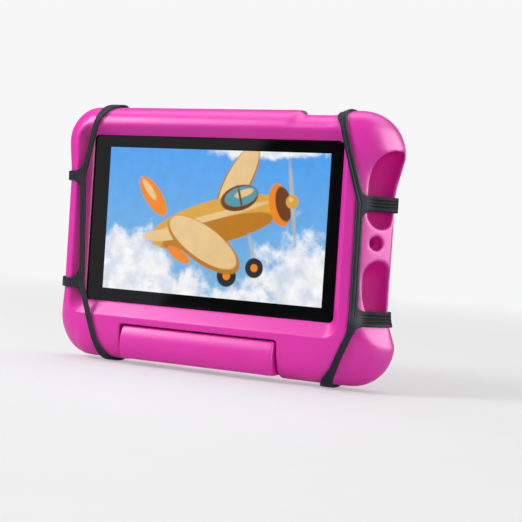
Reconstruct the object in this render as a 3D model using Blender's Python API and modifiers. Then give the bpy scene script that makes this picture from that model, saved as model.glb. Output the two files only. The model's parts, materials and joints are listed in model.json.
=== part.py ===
"""Handheld media player in a foam bumper case, with a fold-out handle and a rubber headrest harness.

Lengths are metres, +Z is up and the screen faces -Y.  The design frame has its origin in the middle
of the lit display, on the glass; the root empty moves it so that the object's own origin is the
middle of its bounding box, at the bottom.  Every cut or resting piece keeps GAP to its neighbour.
"""
from math import asin, cos, pi, radians, sin, tan

import bmesh
import bpy
from mathutils import Matrix, Vector

MM = 0.001
GAP = 0.3 * MM

# Player: outline, depth and the place of its middle beside the middle of the display
PLAYER_SIZE = Vector((192.0, 9.6, 115.0)) * MM
PLAYER_MIDDLE = Vector((-1.7, 4.8, -0.5)) * MM
PLAYER_CORNER = 9.0 * MM
PLAYER_SIDE = PLAYER_MIDDLE.x + PLAYER_SIZE.x / 2
PLAYER_TOP = PLAYER_MIDDLE.z + PLAYER_SIZE.z / 2
PANEL_HALF = Vector((81.3, 0.0, 48.8)) * MM
PANEL_FRONT, PANEL_BACK, PANEL_PLAY = 1.4 * MM, 3.6 * MM, 0.4 * MM
GLASS_THICK, GLASS_MARGIN, FRAME_LIP = 1.0 * MM, 1.7 * MM, 1.4 * MM
COVER_THICK = 1.2 * MM
PLATE_BACK, BAY_WALL = 4.6 * MM, 2.8 * MM

# Bumper case: each side is (reach low, reach at the waist, reach high), measured from the middle
CASE_FRONT, CASE_WIDEST, CASE_BACK = -7.0 * MM, 11.5 * MM, 18.0 * MM
CASE_TOP, CASE_BOTTOM = 71.0 * MM, -89.5 * MM
CASE_RIGHT = (118.6 * MM, 113.0 * MM, 118.0 * MM)
CASE_LEFT = (112.0 * MM, 111.5 * MM, 114.0 * MM)
CASE_CORNERS = (25.0 * MM, 27.0 * MM, 22.0 * MM, 22.0 * MM)
WAIST_TOP, WAIST_BOTTOM, WAIST_REACH = 20.0 * MM, -46.0 * MM, 22.0 * MM
BACK_INSET, FRONT_INSET = 6.0 * MM, 1.2 * MM
DIP_START, DIP_END, DIP_BLEND, DIP_DEPTH = 54.0 * MM, 87.0 * MM, 5.0 * MM, 2.6 * MM

# Section of the case from its crest to its widest point: powers of the curve, and where they change
SOFT_POWER, CORNER_POWER, LEFT_POWER, BOTTOM_POWER = 1.5, 2.3, 1.6, 3.2
POWER_BLEND = 16.0 * MM
SIDE_START, SIDE_BLEND = 84.0 * MM, 12.0 * MM
LEFT_START, LEFT_BLEND = -110.0 * MM, 30.0 * MM

# Window in the bumper: crest outline at the front, opening outline at the glass (left, right, bottom, top)
CREST = (-98.0 * MM, 90.0 * MM, -61.8 * MM, 58.2 * MM)
OPENING = (-88.4 * MM, 85.0 * MM, -53.0 * MM, 52.0 * MM)
CREST_CORNER, OPENING_CORNER = 9.0 * MM, 3.0 * MM
LIP_THICK = 1.2 * MM

# Carry handle: a crowned grip in the bottom notch and two arms on pins in the back
HANDLE_X = -2.9 * MM
GRIP_HALF = 53.5 * MM
GRIP_TOP, GRIP_BOTTOM = -67.0 * MM, -87.6 * MM
GRIP_CROWN, GRIP_EDGE, GRIP_BACK = -8.4 * MM, -5.0 * MM, 17.6 * MM
ARM_WIDTH, ARM_FRONT = 11.0 * MM, 12.6 * MM
NOTCH_HALF, NOTCH_TOP = 55.0 * MM, -66.0 * MM
CHANNEL_ROOM, CHANNEL_TOP = 0.8 * MM, 90.0 * MM
GRIP_ROUND = 4.0 * MM
PIVOT_Y, PIVOT_Z = 15.1 * MM, 6.0 * MM
PIN_RADIUS, PIN_REACH = 1.6 * MM, 7.0 * MM

# Side openings of the bumper: two finger scoops, the jack hole and the two slots behind the harness tabs
SCOOP_X, SCOOP_Y, SCOOP_RADIUS = 112.1 * MM, 2.0 * MM, 11.0 * MM
SCOOP_FADE, SCOOP_RISE = 7.0 * MM, 22.0 * MM
SCOOP_LEAN = Vector((0.45, 0.89))
SCOOPS = {"upper": (1.4 * MM, 47.5 * MM, 1), "lower": (-14.6 * MM, -52.5 * MM, -1)}
JACK_Y, JACK_Z, JACK_HOLE = 3.9 * MM, -5.3 * MM, 2.3 * MM
JACK_DISH, DISH_RADIUS = Vector((107.3, 2.6, -5.6)) * MM, 4.2 * MM
POWER_Y, POWER_Z, POWER_SLOT = 5.6 * MM, 17.0 * MM, Vector((2.4, 3.6)) * MM
CHARGE_Y, CHARGE_Z, CHARGE_SLOT = 6.3 * MM, -48.8 * MM, Vector((2.6, 4.2)) * MM

# Openings in the top and back of the bumper: the volume keys' cut-out, the camera and the two speakers
VOLUME_X, VOLUME_Y = 65.0 * MM, 5.7 * MM
VOLUME_CUT = (Vector((53.0, 3.4, 56.0)) * MM, Vector((75.0, 30.0, 80.0)) * MM)
CAMERA_X, CAMERA_Z, CAMERA_HOLE = 72.5 * MM, 37.0 * MM, 8.0 * MM
LENS_RADIUS, LENS_FRONT, CAMERA_HALF = 4.0 * MM, 8.5 * MM, 4.2 * MM
SPEAKERS = {"speaker_upper": 38.0 * MM, "speaker_lower": -40.0 * MM}
SPEAKER_X, SPEAKER_OPENING = -80.0 * MM, Vector((5.0, 0.0, 9.0)) * MM
SPEAKER_HALF, SPEAKER_FRONT, SPEAKER_BACK = Vector((8.0, 0.0, 9.0)) * MM, 4.9 * MM, 8.0 * MM
GRILLE_HALF, GRILLE_PITCH = Vector((3.5, 0.0, 0.6)) * MM, 3.0 * MM

# Harness: rubber stood off the case by GAP; one entry a side, with half widths of strap and tab
RUBBER = 1.6 * MM
FLARE, NECK, OVERRUN = 5.0 * MM, 17.0 * MM, 6.0 * MM
BEND, STEP = 12.0 * MM, 1.0 * MM
HARNESS = {
    "left": dict(
        side=-1, run=(91.2 * MM, 87.4 * MM), meet=(91.2 * MM, 87.4 * MM), top=79.5 * MM, bottom=70.0 * MM,
        tabs=(25.6 * MM, -43.0 * MM), strap=1.9 * MM, tab=3.0 * MM, fillet=8.0 * MM,
    ),
    "right": dict(
        side=1, run=(98.4 * MM, 98.8 * MM), meet=(99.3 * MM, 102.5 * MM), top=82.0 * MM, bottom=81.5 * MM,
        tabs=(17.0 * MM, -49.0 * MM), strap=2.1 * MM, tab=4.4 * MM, fillet=4.0 * MM,
    ),
}
PAD_SIZE, PAD_CORNER = Vector((18.0, 3.0, 54.0)) * MM, 3.0 * MM
RIVET_SPREAD, RIVET_RADIUS, RIVET_INTO_PAD = 17.0 * MM, 1.5 * MM, 1.6 * MM

# Blocks inside the player, in millimetres: low corner, high corner, finish, corner radius
BLOCKS = {
    "processor_shield": ((44.0, 6.2, -14.0), (70.0, 7.7, 16.0), "metal", 1.0),
    "wireless_module": ((44.0, 6.2, 22.0), (60.0, 7.4, 36.0), "metal", 0.0),
    "card_socket": ((60.0, 6.2, -40.0), (74.0, 7.8, -24.0), "metal", 0.0),
    "microphone": ((80.5, 6.2, 34.0), (83.5, 7.4, 37.0), "metal", 0.0),
    "battery_pack": ((-64.0, 4.9, -46.0), (22.0, 7.9, 30.0), "battery", 2.0),
    "front_camera": ((82.5, 1.5, 9.8), (87.6, 4.4, 15.2), "plastic", 0.0),
}
FRONT_CAMERA_POCKET = ((82.2, 1.0, 9.4), (88.0, 20.0, 15.6))
CABLE_WINDOW = ((19.5, 3.0, -42.0), (27.0, 6.0, -27.0))

# Main board in millimetres; its notches clear the jack, the charge port, the power key and the camera
BOARD = ((28.0, 5.0, -49.0), (86.5, 5.9, 45.0))
BOARD_EDGE = 95.0 * MM
BOARD_NOTCHES = {
    "jack": (81.7, -8.9, -1.7),
    "charge": (84.0, -51.9, -43.1),
    "power": (86.0, 12.0, 22.0),
    "camera": (81.9, 9.1, 15.9),
}
SCREWS = ((33.0, -44.0), (33.0, 40.0), (78.0, -30.0), (79.0, 24.0))
SCREW_PROFILE = ((0.0, 4.9), (0.9, 4.9), (0.9, 6.2), (1.8, 6.2), (1.8, 6.9), (1.5, 7.2), (0.0, 7.2))
SCREW_HOLE = 1.2 * MM

# Display cable as a bent strip, and the battery's lead, in millimetres
RIBBON = (
    (20.2, 3.95), (24.8, 3.95), (24.8, 6.25), (38.0, 6.25),
    (38.0, 6.55), (24.5, 6.55), (24.5, 4.25), (20.2, 4.25),
)
RIBBON_BOTTOM, RIBBON_WIDTH = -41.0, 13.0 * MM
LEAD_PATH = ((22.4, 6.2, 4.0), (25.0, 6.9, 4.0), (29.5, 7.1, 5.0), (35.0, 7.1, 6.0))
LEAD_RADIUS = 0.6 * MM

# How finely the case's outline and section are stepped
CORNER_STEPS, SIDE_STEPS, BOTTOM_STEPS, FRONT_STEPS, BACK_STEPS = 6, 9, 4, 7, 3
SCOOP_STEPS, SCOOP_SIDES, FILLET_STEPS = 4, 20, 3

# The object's own origin: bottom centre of its bounding box
ROOT_SHIFT = Vector((
    (CASE_LEFT[2] - CASE_RIGHT[0]) / 2,
    -(CASE_FRONT + CASE_BACK + PAD_SIZE.y + GAP) / 2,
    -CASE_BOTTOM + RUBBER + GAP,
))


# ---------------------------------------------------------------- scene, materials and plain shapes

def clear_scene():
    for obj in list(bpy.data.objects):
        bpy.data.objects.remove(obj, do_unlink=True)
    for name in ("media_player", "cutters"):
        group = bpy.data.collections.new(name)
        bpy.context.scene.collection.children.link(group)
    root = bpy.data.objects.new("player_origin", None)
    root.location = ROOT_SHIFT
    bpy.data.collections["media_player"].objects.link(root)


def finish(name, colour, roughness, metallic=0.0):
    mat = bpy.data.materials.new(name)
    mat.use_nodes = True
    shader = mat.node_tree.nodes["Principled BSDF"]
    shader.inputs["Base Color"].default_value = (*colour, 1.0)
    shader.inputs["Roughness"].default_value = roughness
    shader.inputs["Metallic"].default_value = metallic
    mat.diffuse_color = (*colour, 1.0)
    return mat


def make_finishes():
    return dict(
        foam=finish("pink_foam", (0.76, 0.03, 0.35), 0.45),
        rubber=finish("black_rubber", (0.02, 0.022, 0.028), 0.4),
        glass=finish("black_glass", (0.005, 0.005, 0.006), 0.05),
        panel=finish("display_panel", (0.12, 0.38, 0.8), 0.3),
        plastic=finish("black_plastic", (0.02, 0.02, 0.022), 0.5),
        board=finish("circuit_board", (0.01, 0.12, 0.05), 0.5),
        metal=finish("tinned_steel", (0.6, 0.6, 0.62), 0.3, 1.0),
        battery=finish("battery_foil", (0.55, 0.56, 0.58), 0.4, 0.6),
    )


def add_object(name, bm, mat, origin=None):
    """A part, or with no material a cutter, from a bmesh drawn in the design frame."""
    origin = origin or Vector()
    bmesh.ops.translate(bm, vec=-origin, verts=bm.verts)
    mesh = bpy.data.meshes.new(name)
    bm.to_mesh(mesh)
    bm.free()
    obj = bpy.data.objects.new(name, mesh)
    group = "media_player" if mat else "cutters"
    bpy.data.collections[group].objects.link(obj)
    obj.parent = bpy.data.objects["player_origin"]
    obj.location = origin
    if mat:
        mesh.materials.append(mat)
    else:
        obj.hide_render = True
        obj.display_type = "WIRE"
    return obj


def at(x, y, z):
    return Vector((x, y, z)) * MM


def box(name, low, high, mat=None, corner=0.0, origin=None):
    """A box between two corners, its edges along Y rounded to the corner radius."""
    low, high = Vector(low), Vector(high)
    bm = bmesh.new()
    bmesh.ops.create_cube(bm, size=1.0)
    bmesh.ops.scale(bm, vec=high - low, verts=bm.verts)
    bmesh.ops.translate(bm, vec=(low + high) / 2, verts=bm.verts)
    if corner:
        along_y = [e for e in bm.edges if abs(e.verts[0].co.y - e.verts[1].co.y) > 0.1 * MM]
        bmesh.ops.bevel(bm, geom=along_y, offset=corner, segments=4, profile=0.5, affect="EDGES")
    return add_object(name, bm, mat, origin)


def plate(name, margin, front, back, mat=None):
    """A plate with the player's own outline, drawn in by a margin."""
    half = PLAYER_SIZE / 2 - Vector((margin, 0.0, margin))
    low = Vector((PLAYER_MIDDLE.x - half.x, front, PLAYER_MIDDLE.z - half.z))
    high = Vector((PLAYER_MIDDLE.x + half.x, back, PLAYER_MIDDLE.z + half.z))
    return box(name, low, high, mat, PLAYER_CORNER - margin)


def rod(name, start, along, radius, mat=None, sides=16, origin=None):
    """A cylinder from a start point along a vector, both in metres."""
    along = Vector(along)
    bm = bmesh.new()
    size = dict(segments=sides, radius1=radius, radius2=radius, depth=along.length)
    bmesh.ops.create_cone(bm, cap_ends=True, **size)
    turn = Vector((0.0, 0.0, 1.0)).rotation_difference(along).to_matrix().to_4x4()
    bmesh.ops.transform(bm, matrix=Matrix.Translation(Vector(start) + along / 2) @ turn, verts=bm.verts)
    return add_object(name, bm, mat, origin)


def ball(name, centre, radius):
    bm = bmesh.new()
    bmesh.ops.create_icosphere(bm, subdivisions=2, radius=radius)
    bmesh.ops.translate(bm, vec=centre, verts=bm.verts)
    return add_object(name, bm, None)


def prism(name, outline, direction, mat=None, origin=None):
    """A closed outline of points swept along a direction."""
    bm = bmesh.new()
    face = bm.faces.new([bm.verts.new(point) for point in outline])
    moved = bmesh.ops.extrude_face_region(bm, geom=[face])
    tops = [item for item in moved["geom"] if isinstance(item, bmesh.types.BMVert)]
    bmesh.ops.translate(bm, vec=direction, verts=tops)
    bmesh.ops.recalc_face_normals(bm, faces=bm.faces)
    return add_object(name, bm, mat, origin)


def combine(target, operation, others):
    """Cut, join or intersect; a joined or intersecting shape is a helper, as a cutter is."""
    for other in others:
        modifier = target.modifiers.new(f"{operation.lower()} {other.name}", "BOOLEAN")
        modifier.operation = operation
        modifier.solver = "EXACT"
        modifier.object = other
    return target


# ---------------------------------------------------------------- the case's lofted body

def smooth(t):
    t = min(max(t, 0.0), 1.0)
    return t * t * (3 - 2 * t)


def arc(centre, radius, first, last, steps):
    """Points of an arc in a plane, between two angles in degrees."""
    turns = [radians(first + (last - first) * i / steps) for i in range(steps + 1)]
    return [(centre[0] + radius * cos(turn), centre[1] + radius * sin(turn)) for turn in turns]


def blend_list(first, last, count):
    return [first + (last - first) * i / count for i in range(1, count)]


def ring(left, right, bottom, top, corners, left_in=None, right_in=None, dip_of=None):
    """A rounded rectangle of (x, z) points, anticlockwise from the start of the lower right corner.

    left and right are (x low, x high); corners are four radii; the functions draw in the sides at a
    height and lower the top edge at an x.
    """
    (left_low, left_high), (right_low, right_high) = left, right
    first, second, third, fourth = corners
    centres = (
        (right_low - first, bottom + first, -90.0, first),
        (right_high - second, top - second, 0.0, second),
        (left_high + third, top - third, 90.0, third),
        (left_low + fourth, bottom + fourth, 180.0, fourth),
    )
    arcs = []
    for x, z, start, radius in centres:
        arcs.append(arc((x, z), radius, start, start + 90.0, CORNER_STEPS))
    points = list(arcs[0])
    for z in blend_list(arcs[0][-1][1], arcs[1][0][1], SIDE_STEPS):
        points.append((right_high - (right_in(z) if right_in else 0.0), z))
    points += arcs[1]
    for x in top_stations(arcs[1][-1][0], arcs[2][0][0]):
        points.append((x, top - (dip_of(x) if dip_of else 0.0)))
    points += arcs[2]
    for z in blend_list(arcs[2][-1][1], arcs[3][0][1], SIDE_STEPS):
        points.append((left_high + (left_in(z) if left_in else 0.0), z))
    points += arcs[3]
    points += [(x, bottom) for x in blend_list(arcs[3][-1][0], arcs[0][0][0], BOTTOM_STEPS)]
    return points


def top_stations(first, last):
    """Places along the top edge, closer together where it dips; scaled to the ring's own width."""
    full_right = CASE_RIGHT[2] - CASE_CORNERS[1]
    full_left = CASE_CORNERS[2] - CASE_LEFT[2]
    marks = [DIP_END, DIP_END - DIP_BLEND / 2, DIP_END - DIP_BLEND]
    marks += [DIP_START + DIP_BLEND, DIP_START + DIP_BLEND / 2, DIP_START, 20 * MM, -20 * MM, -60 * MM]
    return [last + (first - last) * (mark - full_left) / (full_right - full_left) for mark in marks]


def draw_in(z, reach):
    """How far a side is drawn in from its top corner's reach at a height."""
    low, waist, high = reach
    if z > (WAIST_TOP + WAIST_BOTTOM) / 2:
        start = CASE_TOP - WAIST_REACH
        return (high - waist) * smooth((start - z) / (start - WAIST_TOP))
    start = CASE_BOTTOM + WAIST_REACH
    return high - low + (low - waist) * smooth((z - start) / (WAIST_BOTTOM - start))


def dip(x):
    return DIP_DEPTH * smooth((x - DIP_START) / DIP_BLEND) * smooth((DIP_END - x) / DIP_BLEND)


def section_power(x, z):
    """An easy slope beside the screen's middle, a fuller edge round the corners, top and bottom."""
    into_waist = min(CASE_TOP - WAIST_REACH - z, z - CASE_BOTTOM - WAIST_REACH) / POWER_BLEND
    corner = LEFT_POWER + (CORNER_POWER - LEFT_POWER) * smooth((x - LEFT_START) / LEFT_BLEND)
    beside = corner + (SOFT_POWER - corner) * smooth(into_waist)
    middle = CORNER_POWER if z > 0 else BOTTOM_POWER
    return middle + (beside - middle) * smooth((abs(x) - SIDE_START) / SIDE_BLEND)


def case_outline(step):
    """The case's outline from the front, grown by a step."""
    left_x = (-CASE_LEFT[0] - step, -CASE_LEFT[2] - step)
    right_x = (CASE_RIGHT[0] + step, CASE_RIGHT[2] + step)
    corners = [corner + step for corner in CASE_CORNERS]
    return ring(
        left_x, right_x, CASE_BOTTOM - step, CASE_TOP + step, corners,
        lambda z: draw_in(z, CASE_LEFT), lambda z: draw_in(z, CASE_RIGHT), dip,
    )


def case_body(name, mat=None, grow=0.0):
    """The outer body, without its window: rings lofted from the front face round to the back."""
    left, right, bottom, top = CREST
    front = ring(
        (left + FRONT_INSET,) * 2, (right - FRONT_INSET,) * 2,
        bottom + FRONT_INSET, top - FRONT_INSET, (CREST_CORNER - FRONT_INSET,) * 4,
    )
    widest, back = case_outline(grow), case_outline(grow - BACK_INSET)
    rows = []
    for step in range(FRONT_STEPS + 1):
        angle = pi / 2 * step / FRONT_STEPS
        row = []
        for (xf, zf), (xw, zw) in zip(front, widest):
            power = 2 / section_power(xw, zw)
            out = sin(angle) ** power
            fore = cos(angle) ** power if step < FRONT_STEPS else 0.0
            y = CASE_WIDEST - (CASE_WIDEST - CASE_FRONT + grow) * fore
            row.append((xf + (xw - xf) * out, y, zf + (zw - zf) * out))
        rows.append(row)
    for step in range(1, BACK_STEPS + 1):
        angle = pi / 2 * step / BACK_STEPS
        y = CASE_WIDEST + (CASE_BACK + grow - CASE_WIDEST) * sin(angle)
        away = 1 - cos(angle)
        pairs = zip(widest, back)
        rows.append([(xw + (xb - xw) * away, y, zw + (zb - zw) * away) for (xw, zw), (xb, zb) in pairs])
    return add_object(name, loft(rows), mat)


def loft(rows):
    """A closed bmesh through rows of points, each row a closed loop with the same number of points."""
    bm = bmesh.new()
    loops = [[bm.verts.new(point) for point in row] for row in rows]
    count = len(rows[0])
    for near, far in zip(loops, loops[1:]):
        for i in range(count):
            j = (i + 1) % count
            bm.faces.new((near[i], near[j], far[j], far[i]))
    bm.faces.new(loops[0])
    bm.faces.new(loops[-1])
    bmesh.ops.recalc_face_normals(bm, faces=bm.faces)
    return bm


def window_cutter():
    """The sloped window: through the crest outline at the front, down to the opening at the glass."""
    depth = CASE_FRONT + LIP_THICK
    over = 1.0 * MM
    rows = []
    for share, y in ((1 + over / -depth, CASE_FRONT - over), (0.0, -LIP_THICK), (0.0, 2 * GAP)):
        edges = [low + (high - low) * share for low, high in zip(OPENING, CREST)]
        corner = OPENING_CORNER + (CREST_CORNER - OPENING_CORNER) * share
        outline = ring((edges[0],) * 2, (edges[1],) * 2, edges[2], edges[3], (corner,) * 4)
        rows.append([(x, y, z) for x, z in outline])
    return add_object("window_cut", loft(rows), None)


def scoop_cutter(name, round_end, flat_end, way):
    """A finger scoop: an upright groove with a ball end and a filleted end that stays open behind."""
    sections = []
    for i in range(1, SCOOP_STEPS + 1):
        angle = pi / 2 * i / SCOOP_STEPS
        sections.append((SCOOP_RADIUS * sin(angle), round_end + way * SCOOP_RADIUS * (1 - cos(angle)), 0.0))
    for i in range(SCOOP_STEPS + 1):
        angle = pi / 2 * i / SCOOP_STEPS
        shrink = SCOOP_FADE * (1 - cos(angle))
        sections.append((SCOOP_RADIUS - shrink, flat_end - way * SCOOP_RISE * (1 - sin(angle)), shrink))
    rows = []
    for radius, z, shrink in sections:
        centre = Vector((SCOOP_X, SCOOP_Y)) + SCOOP_LEAN * shrink
        turns = [2 * pi * i / SCOOP_SIDES for i in range(SCOOP_SIDES)]
        rows.append([(centre.x + radius * cos(turn), centre.y + radius * sin(turn), z) for turn in turns])
    return add_object(name, loft(rows), None)


def slot(name, start, length, y, z, half):
    """A rectangular opening along X; half holds its half sizes in Y and Z."""
    low = Vector((start, y - half.x, z - half.y))
    return box(name, low, Vector((start + length, y + half.x, z + half.y)))


def bumper_case(mats):
    case = case_body("bumper_case", mats["foam"])
    beyond = 30 * MM
    play = 0.4 * MM
    cuts = [window_cutter(), plate("player_cavity", -play, -GAP, PLAYER_SIZE.y + play)]
    for side, word in ((-1, "left"), (1, "right")):
        middle = HANDLE_X + side * (GRIP_HALF - ARM_WIDTH / 2)
        room = ARM_WIDTH / 2 + CHANNEL_ROOM
        low = Vector((middle - room, ARM_FRONT - play, CASE_BOTTOM - beyond))
        cuts.append(box(f"arm_channel_{word}", low, Vector((middle + room, beyond, CHANNEL_TOP))))
        reach = ARM_WIDTH / 2 + PIN_REACH + GAP
        start = (middle - reach, PIVOT_Y, PIVOT_Z)
        cuts.append(rod(f"pin_hole_{word}", start, (2 * reach, 0, 0), PIN_RADIUS + GAP, sides=12))
    for word, place in SCOOPS.items():
        cuts.append(scoop_cutter(f"scoop_{word}", *place))
    inside = PLAYER_SIDE - 1 * MM
    cuts.append(rod("jack_hole", (inside, JACK_Y, JACK_Z), (2 * beyond, 0, 0), JACK_HOLE))
    cuts.append(ball("jack_dish", JACK_DISH, DISH_RADIUS))
    cuts.append(slot("power_slot", inside, beyond, POWER_Y, POWER_Z, POWER_SLOT))
    cuts.append(slot("charge_slot", inside, beyond, CHARGE_Y, CHARGE_Z, CHARGE_SLOT))
    cuts.append(box("volume_cut", *VOLUME_CUT))
    behind = PLAYER_SIZE.y - 0.6 * MM
    cuts.append(rod("camera_hole", (CAMERA_X, behind, CAMERA_Z), (0, beyond, 0), CAMERA_HOLE, sides=24))
    for name, height in SPEAKERS.items():
        centre = Vector((SPEAKER_X, behind, height))
        low, high = centre - SPEAKER_OPENING, centre + SPEAKER_OPENING + Vector((0, beyond, 0))
        cuts.append(box(f"{name}_opening", low, high, corner=4.0 * MM))
    notch_low = Vector((HANDLE_X - NOTCH_HALF, -beyond, CASE_BOTTOM - beyond))
    cuts.append(box("grip_notch", notch_low, Vector((HANDLE_X + NOTCH_HALF, beyond, NOTCH_TOP))))
    return combine(case, "DIFFERENCE", cuts)


# ---------------------------------------------------------------- handle and its pins

def grip_section():
    """The grip's (y, z) outline: an arc for the crowned front, and a back with two round corners."""
    half_height, rise = (GRIP_TOP - GRIP_BOTTOM) / 2, GRIP_EDGE - GRIP_CROWN
    radius = (half_height ** 2 + rise ** 2) / (2 * rise)
    centre = (GRIP_CROWN + radius, (GRIP_TOP + GRIP_BOTTOM) / 2)
    spread = asin(half_height / radius) * 180 / pi
    section = arc(centre, radius, 180.0 + spread, 180.0 - spread, 10)
    back = GRIP_BACK - GRIP_ROUND
    section += arc((back, GRIP_TOP - GRIP_ROUND), GRIP_ROUND, 90.0, 0.0, 3)
    section += arc((back, GRIP_BOTTOM + GRIP_ROUND), GRIP_ROUND, 0.0, -90.0, 3)
    return section


def carry_handle(mats):
    pivot = Vector((HANDLE_X, PIVOT_Y, PIVOT_Z))
    start_x = HANDLE_X - GRIP_HALF
    grip = [(start_x, y, z) for y, z in grip_section()]
    handle = prism("carry_handle", grip, Vector((2 * GRIP_HALF, 0.0, 0.0)), mats["foam"], pivot)
    joined, bores = [], []
    trim = 0.02 * MM
    arm_back, into_grip = GRIP_BACK - trim, 6 * MM
    for side, word in ((-1, "left"), (1, "right")):
        middle = HANDLE_X + side * (GRIP_HALF - ARM_WIDTH / 2)
        half = ARM_WIDTH / 2 - trim / 2
        low = Vector((middle - half, ARM_FRONT, GRIP_TOP - into_grip))
        joined.append(box(f"arm_{word}", low, Vector((middle + half, arm_back, PIVOT_Z))))
        radius = (arm_back - ARM_FRONT) / 2
        start = (middle - ARM_WIDTH / 2, ARM_FRONT + radius, PIVOT_Z)
        joined.append(rod(f"arm_end_{word}", start, (ARM_WIDTH, 0, 0), radius, sides=16))
        start = (middle - ARM_WIDTH, PIVOT_Y, PIVOT_Z)
        bores.append(rod(f"arm_bore_{word}", start, (2 * ARM_WIDTH, 0, 0), PIN_RADIUS + GAP, sides=12))
        reach = ARM_WIDTH / 2 + PIN_REACH
        start = (middle - reach, PIVOT_Y, PIVOT_Z)
        rod(f"pivot_pin_{word}", start, (2 * reach, 0, 0), PIN_RADIUS, mats["metal"], 12)
    combine(handle, "UNION", joined)
    return combine(handle, "DIFFERENCE", bores)


# ---------------------------------------------------------------- rubber harness

def rounded(corners, steps):
    """A closed outline of (x, z, radius) corners, each rounded by an arc that touches both its edges."""
    points = []
    for i, (x, z, radius) in enumerate(corners):
        here = Vector((x, z))
        if not radius:
            points.append((x, z))
            continue
        back = (Vector(corners[i - 1][:2]) - here).normalized()
        onward = (Vector(corners[(i + 1) % len(corners)][:2]) - here).normalized()
        half = back.angle(onward) / 2
        middle = here + (back + onward).normalized() * (radius / sin(half))
        first = here + back * (radius / tan(half)) - middle
        last = here + onward * (radius / tan(half)) - middle
        for step in range(steps + 1):
            spoke = first.lerp(last, step / steps).normalized() * radius
            points.append((middle.x + spoke.x, middle.y + spoke.y))
    return points


def net_outline(side, run, meet, top, bottom, tabs, strap, tab, fillet):
    """One side's net, seen from the front: diagonal, upright run, two tabs round the side, diagonal."""
    upper, lower = tabs
    out = CASE_RIGHT[0] + OVERRUN
    over, under = CASE_TOP + OVERRUN, CASE_BOTTOM - OVERRUN

    def line(start, end):
        return lambda z: start[0] + (end[0] - start[0]) * (z - start[1]) / (end[1] - start[1])

    high, low = line((top, over), (meet[0], upper)), line((bottom, under), (meet[1], lower))
    upright = line((run[0], upper), (run[1], lower))

    def crossing(diagonal, z):
        """The height near z at which a diagonal reaches the upright run."""
        lean = (diagonal(z + STEP) - upright(z + STEP) - diagonal(z) + upright(z)) / STEP
        return z - (diagonal(z) - upright(z)) / lean

    bends = [crossing(high, upper), crossing(low, lower)]
    necks = [over - NECK, under + NECK]
    corners = [(top - strap - FLARE, over, 0.0), (high(necks[0]) - strap, necks[0], BEND)]
    corners += [(upright(z) - strap, z, BEND) for z in bends]
    corners += [(low(necks[1]) - strap, necks[1], BEND), (bottom - strap - FLARE, under, 0.0)]
    corners += [(bottom + strap, under, 0.0), (low(lower - tab) + strap, lower - tab, fillet)]
    corners += [(out, lower - tab, 0.0), (out, lower + tab, 0.0)]
    corners += [(upright(lower + tab) + strap, lower + tab, fillet)]
    corners += [(upright(upper - tab) + strap, upper - tab, fillet)]
    corners += [(out, upper - tab, 0.0), (out, upper + tab, 0.0)]
    corners += [(high(upper + tab) + strap, upper + tab, fillet), (top + strap, over, 0.0)]
    return [(side * x, -40 * MM, z) for x, z in rounded(corners, FILLET_STEPS)]


def harness(mats):
    """Each net is a band of the shell between two grown bodies, so it follows the case all the way round."""
    for word, layout in HARNESS.items():
        net = case_body(f"harness_{word}", mats["rubber"], RUBBER + GAP)
        inside = case_body(f"case_inside_{word}", None, GAP)
        outline = prism(f"net_outline_{word}", net_outline(**layout), Vector((0.0, 90 * MM, 0.0)))
        middle = Vector((layout["side"] * sum(layout["run"]) / 2, 0.0, sum(layout["tabs"]) / 2))
        front = Vector((0.0, CASE_BACK + RUBBER + 2 * GAP, 0.0))
        half = Vector((PAD_SIZE.x / 2, 0.0, PAD_SIZE.z / 2))
        high = middle + half + front + Vector((0.0, PAD_SIZE.y, 0.0))
        pad = box(f"headrest_pad_{word}", middle - half + front, high, mats["rubber"], PAD_CORNER)
        holes = []
        for spot, sign in (("upper", 1), ("lower", -1)):
            start = middle + Vector((0.0, CASE_BACK + 2 * GAP, sign * RIVET_SPREAD))
            depth = front.y + RIVET_INTO_PAD - start.y
            rod(f"pad_rivet_{spot}_{word}", start, (0, depth, 0), RIVET_RADIUS, mats["metal"], 12)
            start.y -= 1.6 * MM
            depth += 2.0 * MM
            holes.append(rod(f"rivet_hole_{spot}_{word}", start, (0, depth, 0), RIVET_RADIUS + GAP, sides=12))
        combine(net, "DIFFERENCE", [inside, *holes])
        combine(net, "INTERSECT", [outline])
        combine(pad, "DIFFERENCE", holes)


# ---------------------------------------------------------------- the player and what it holds

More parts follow.
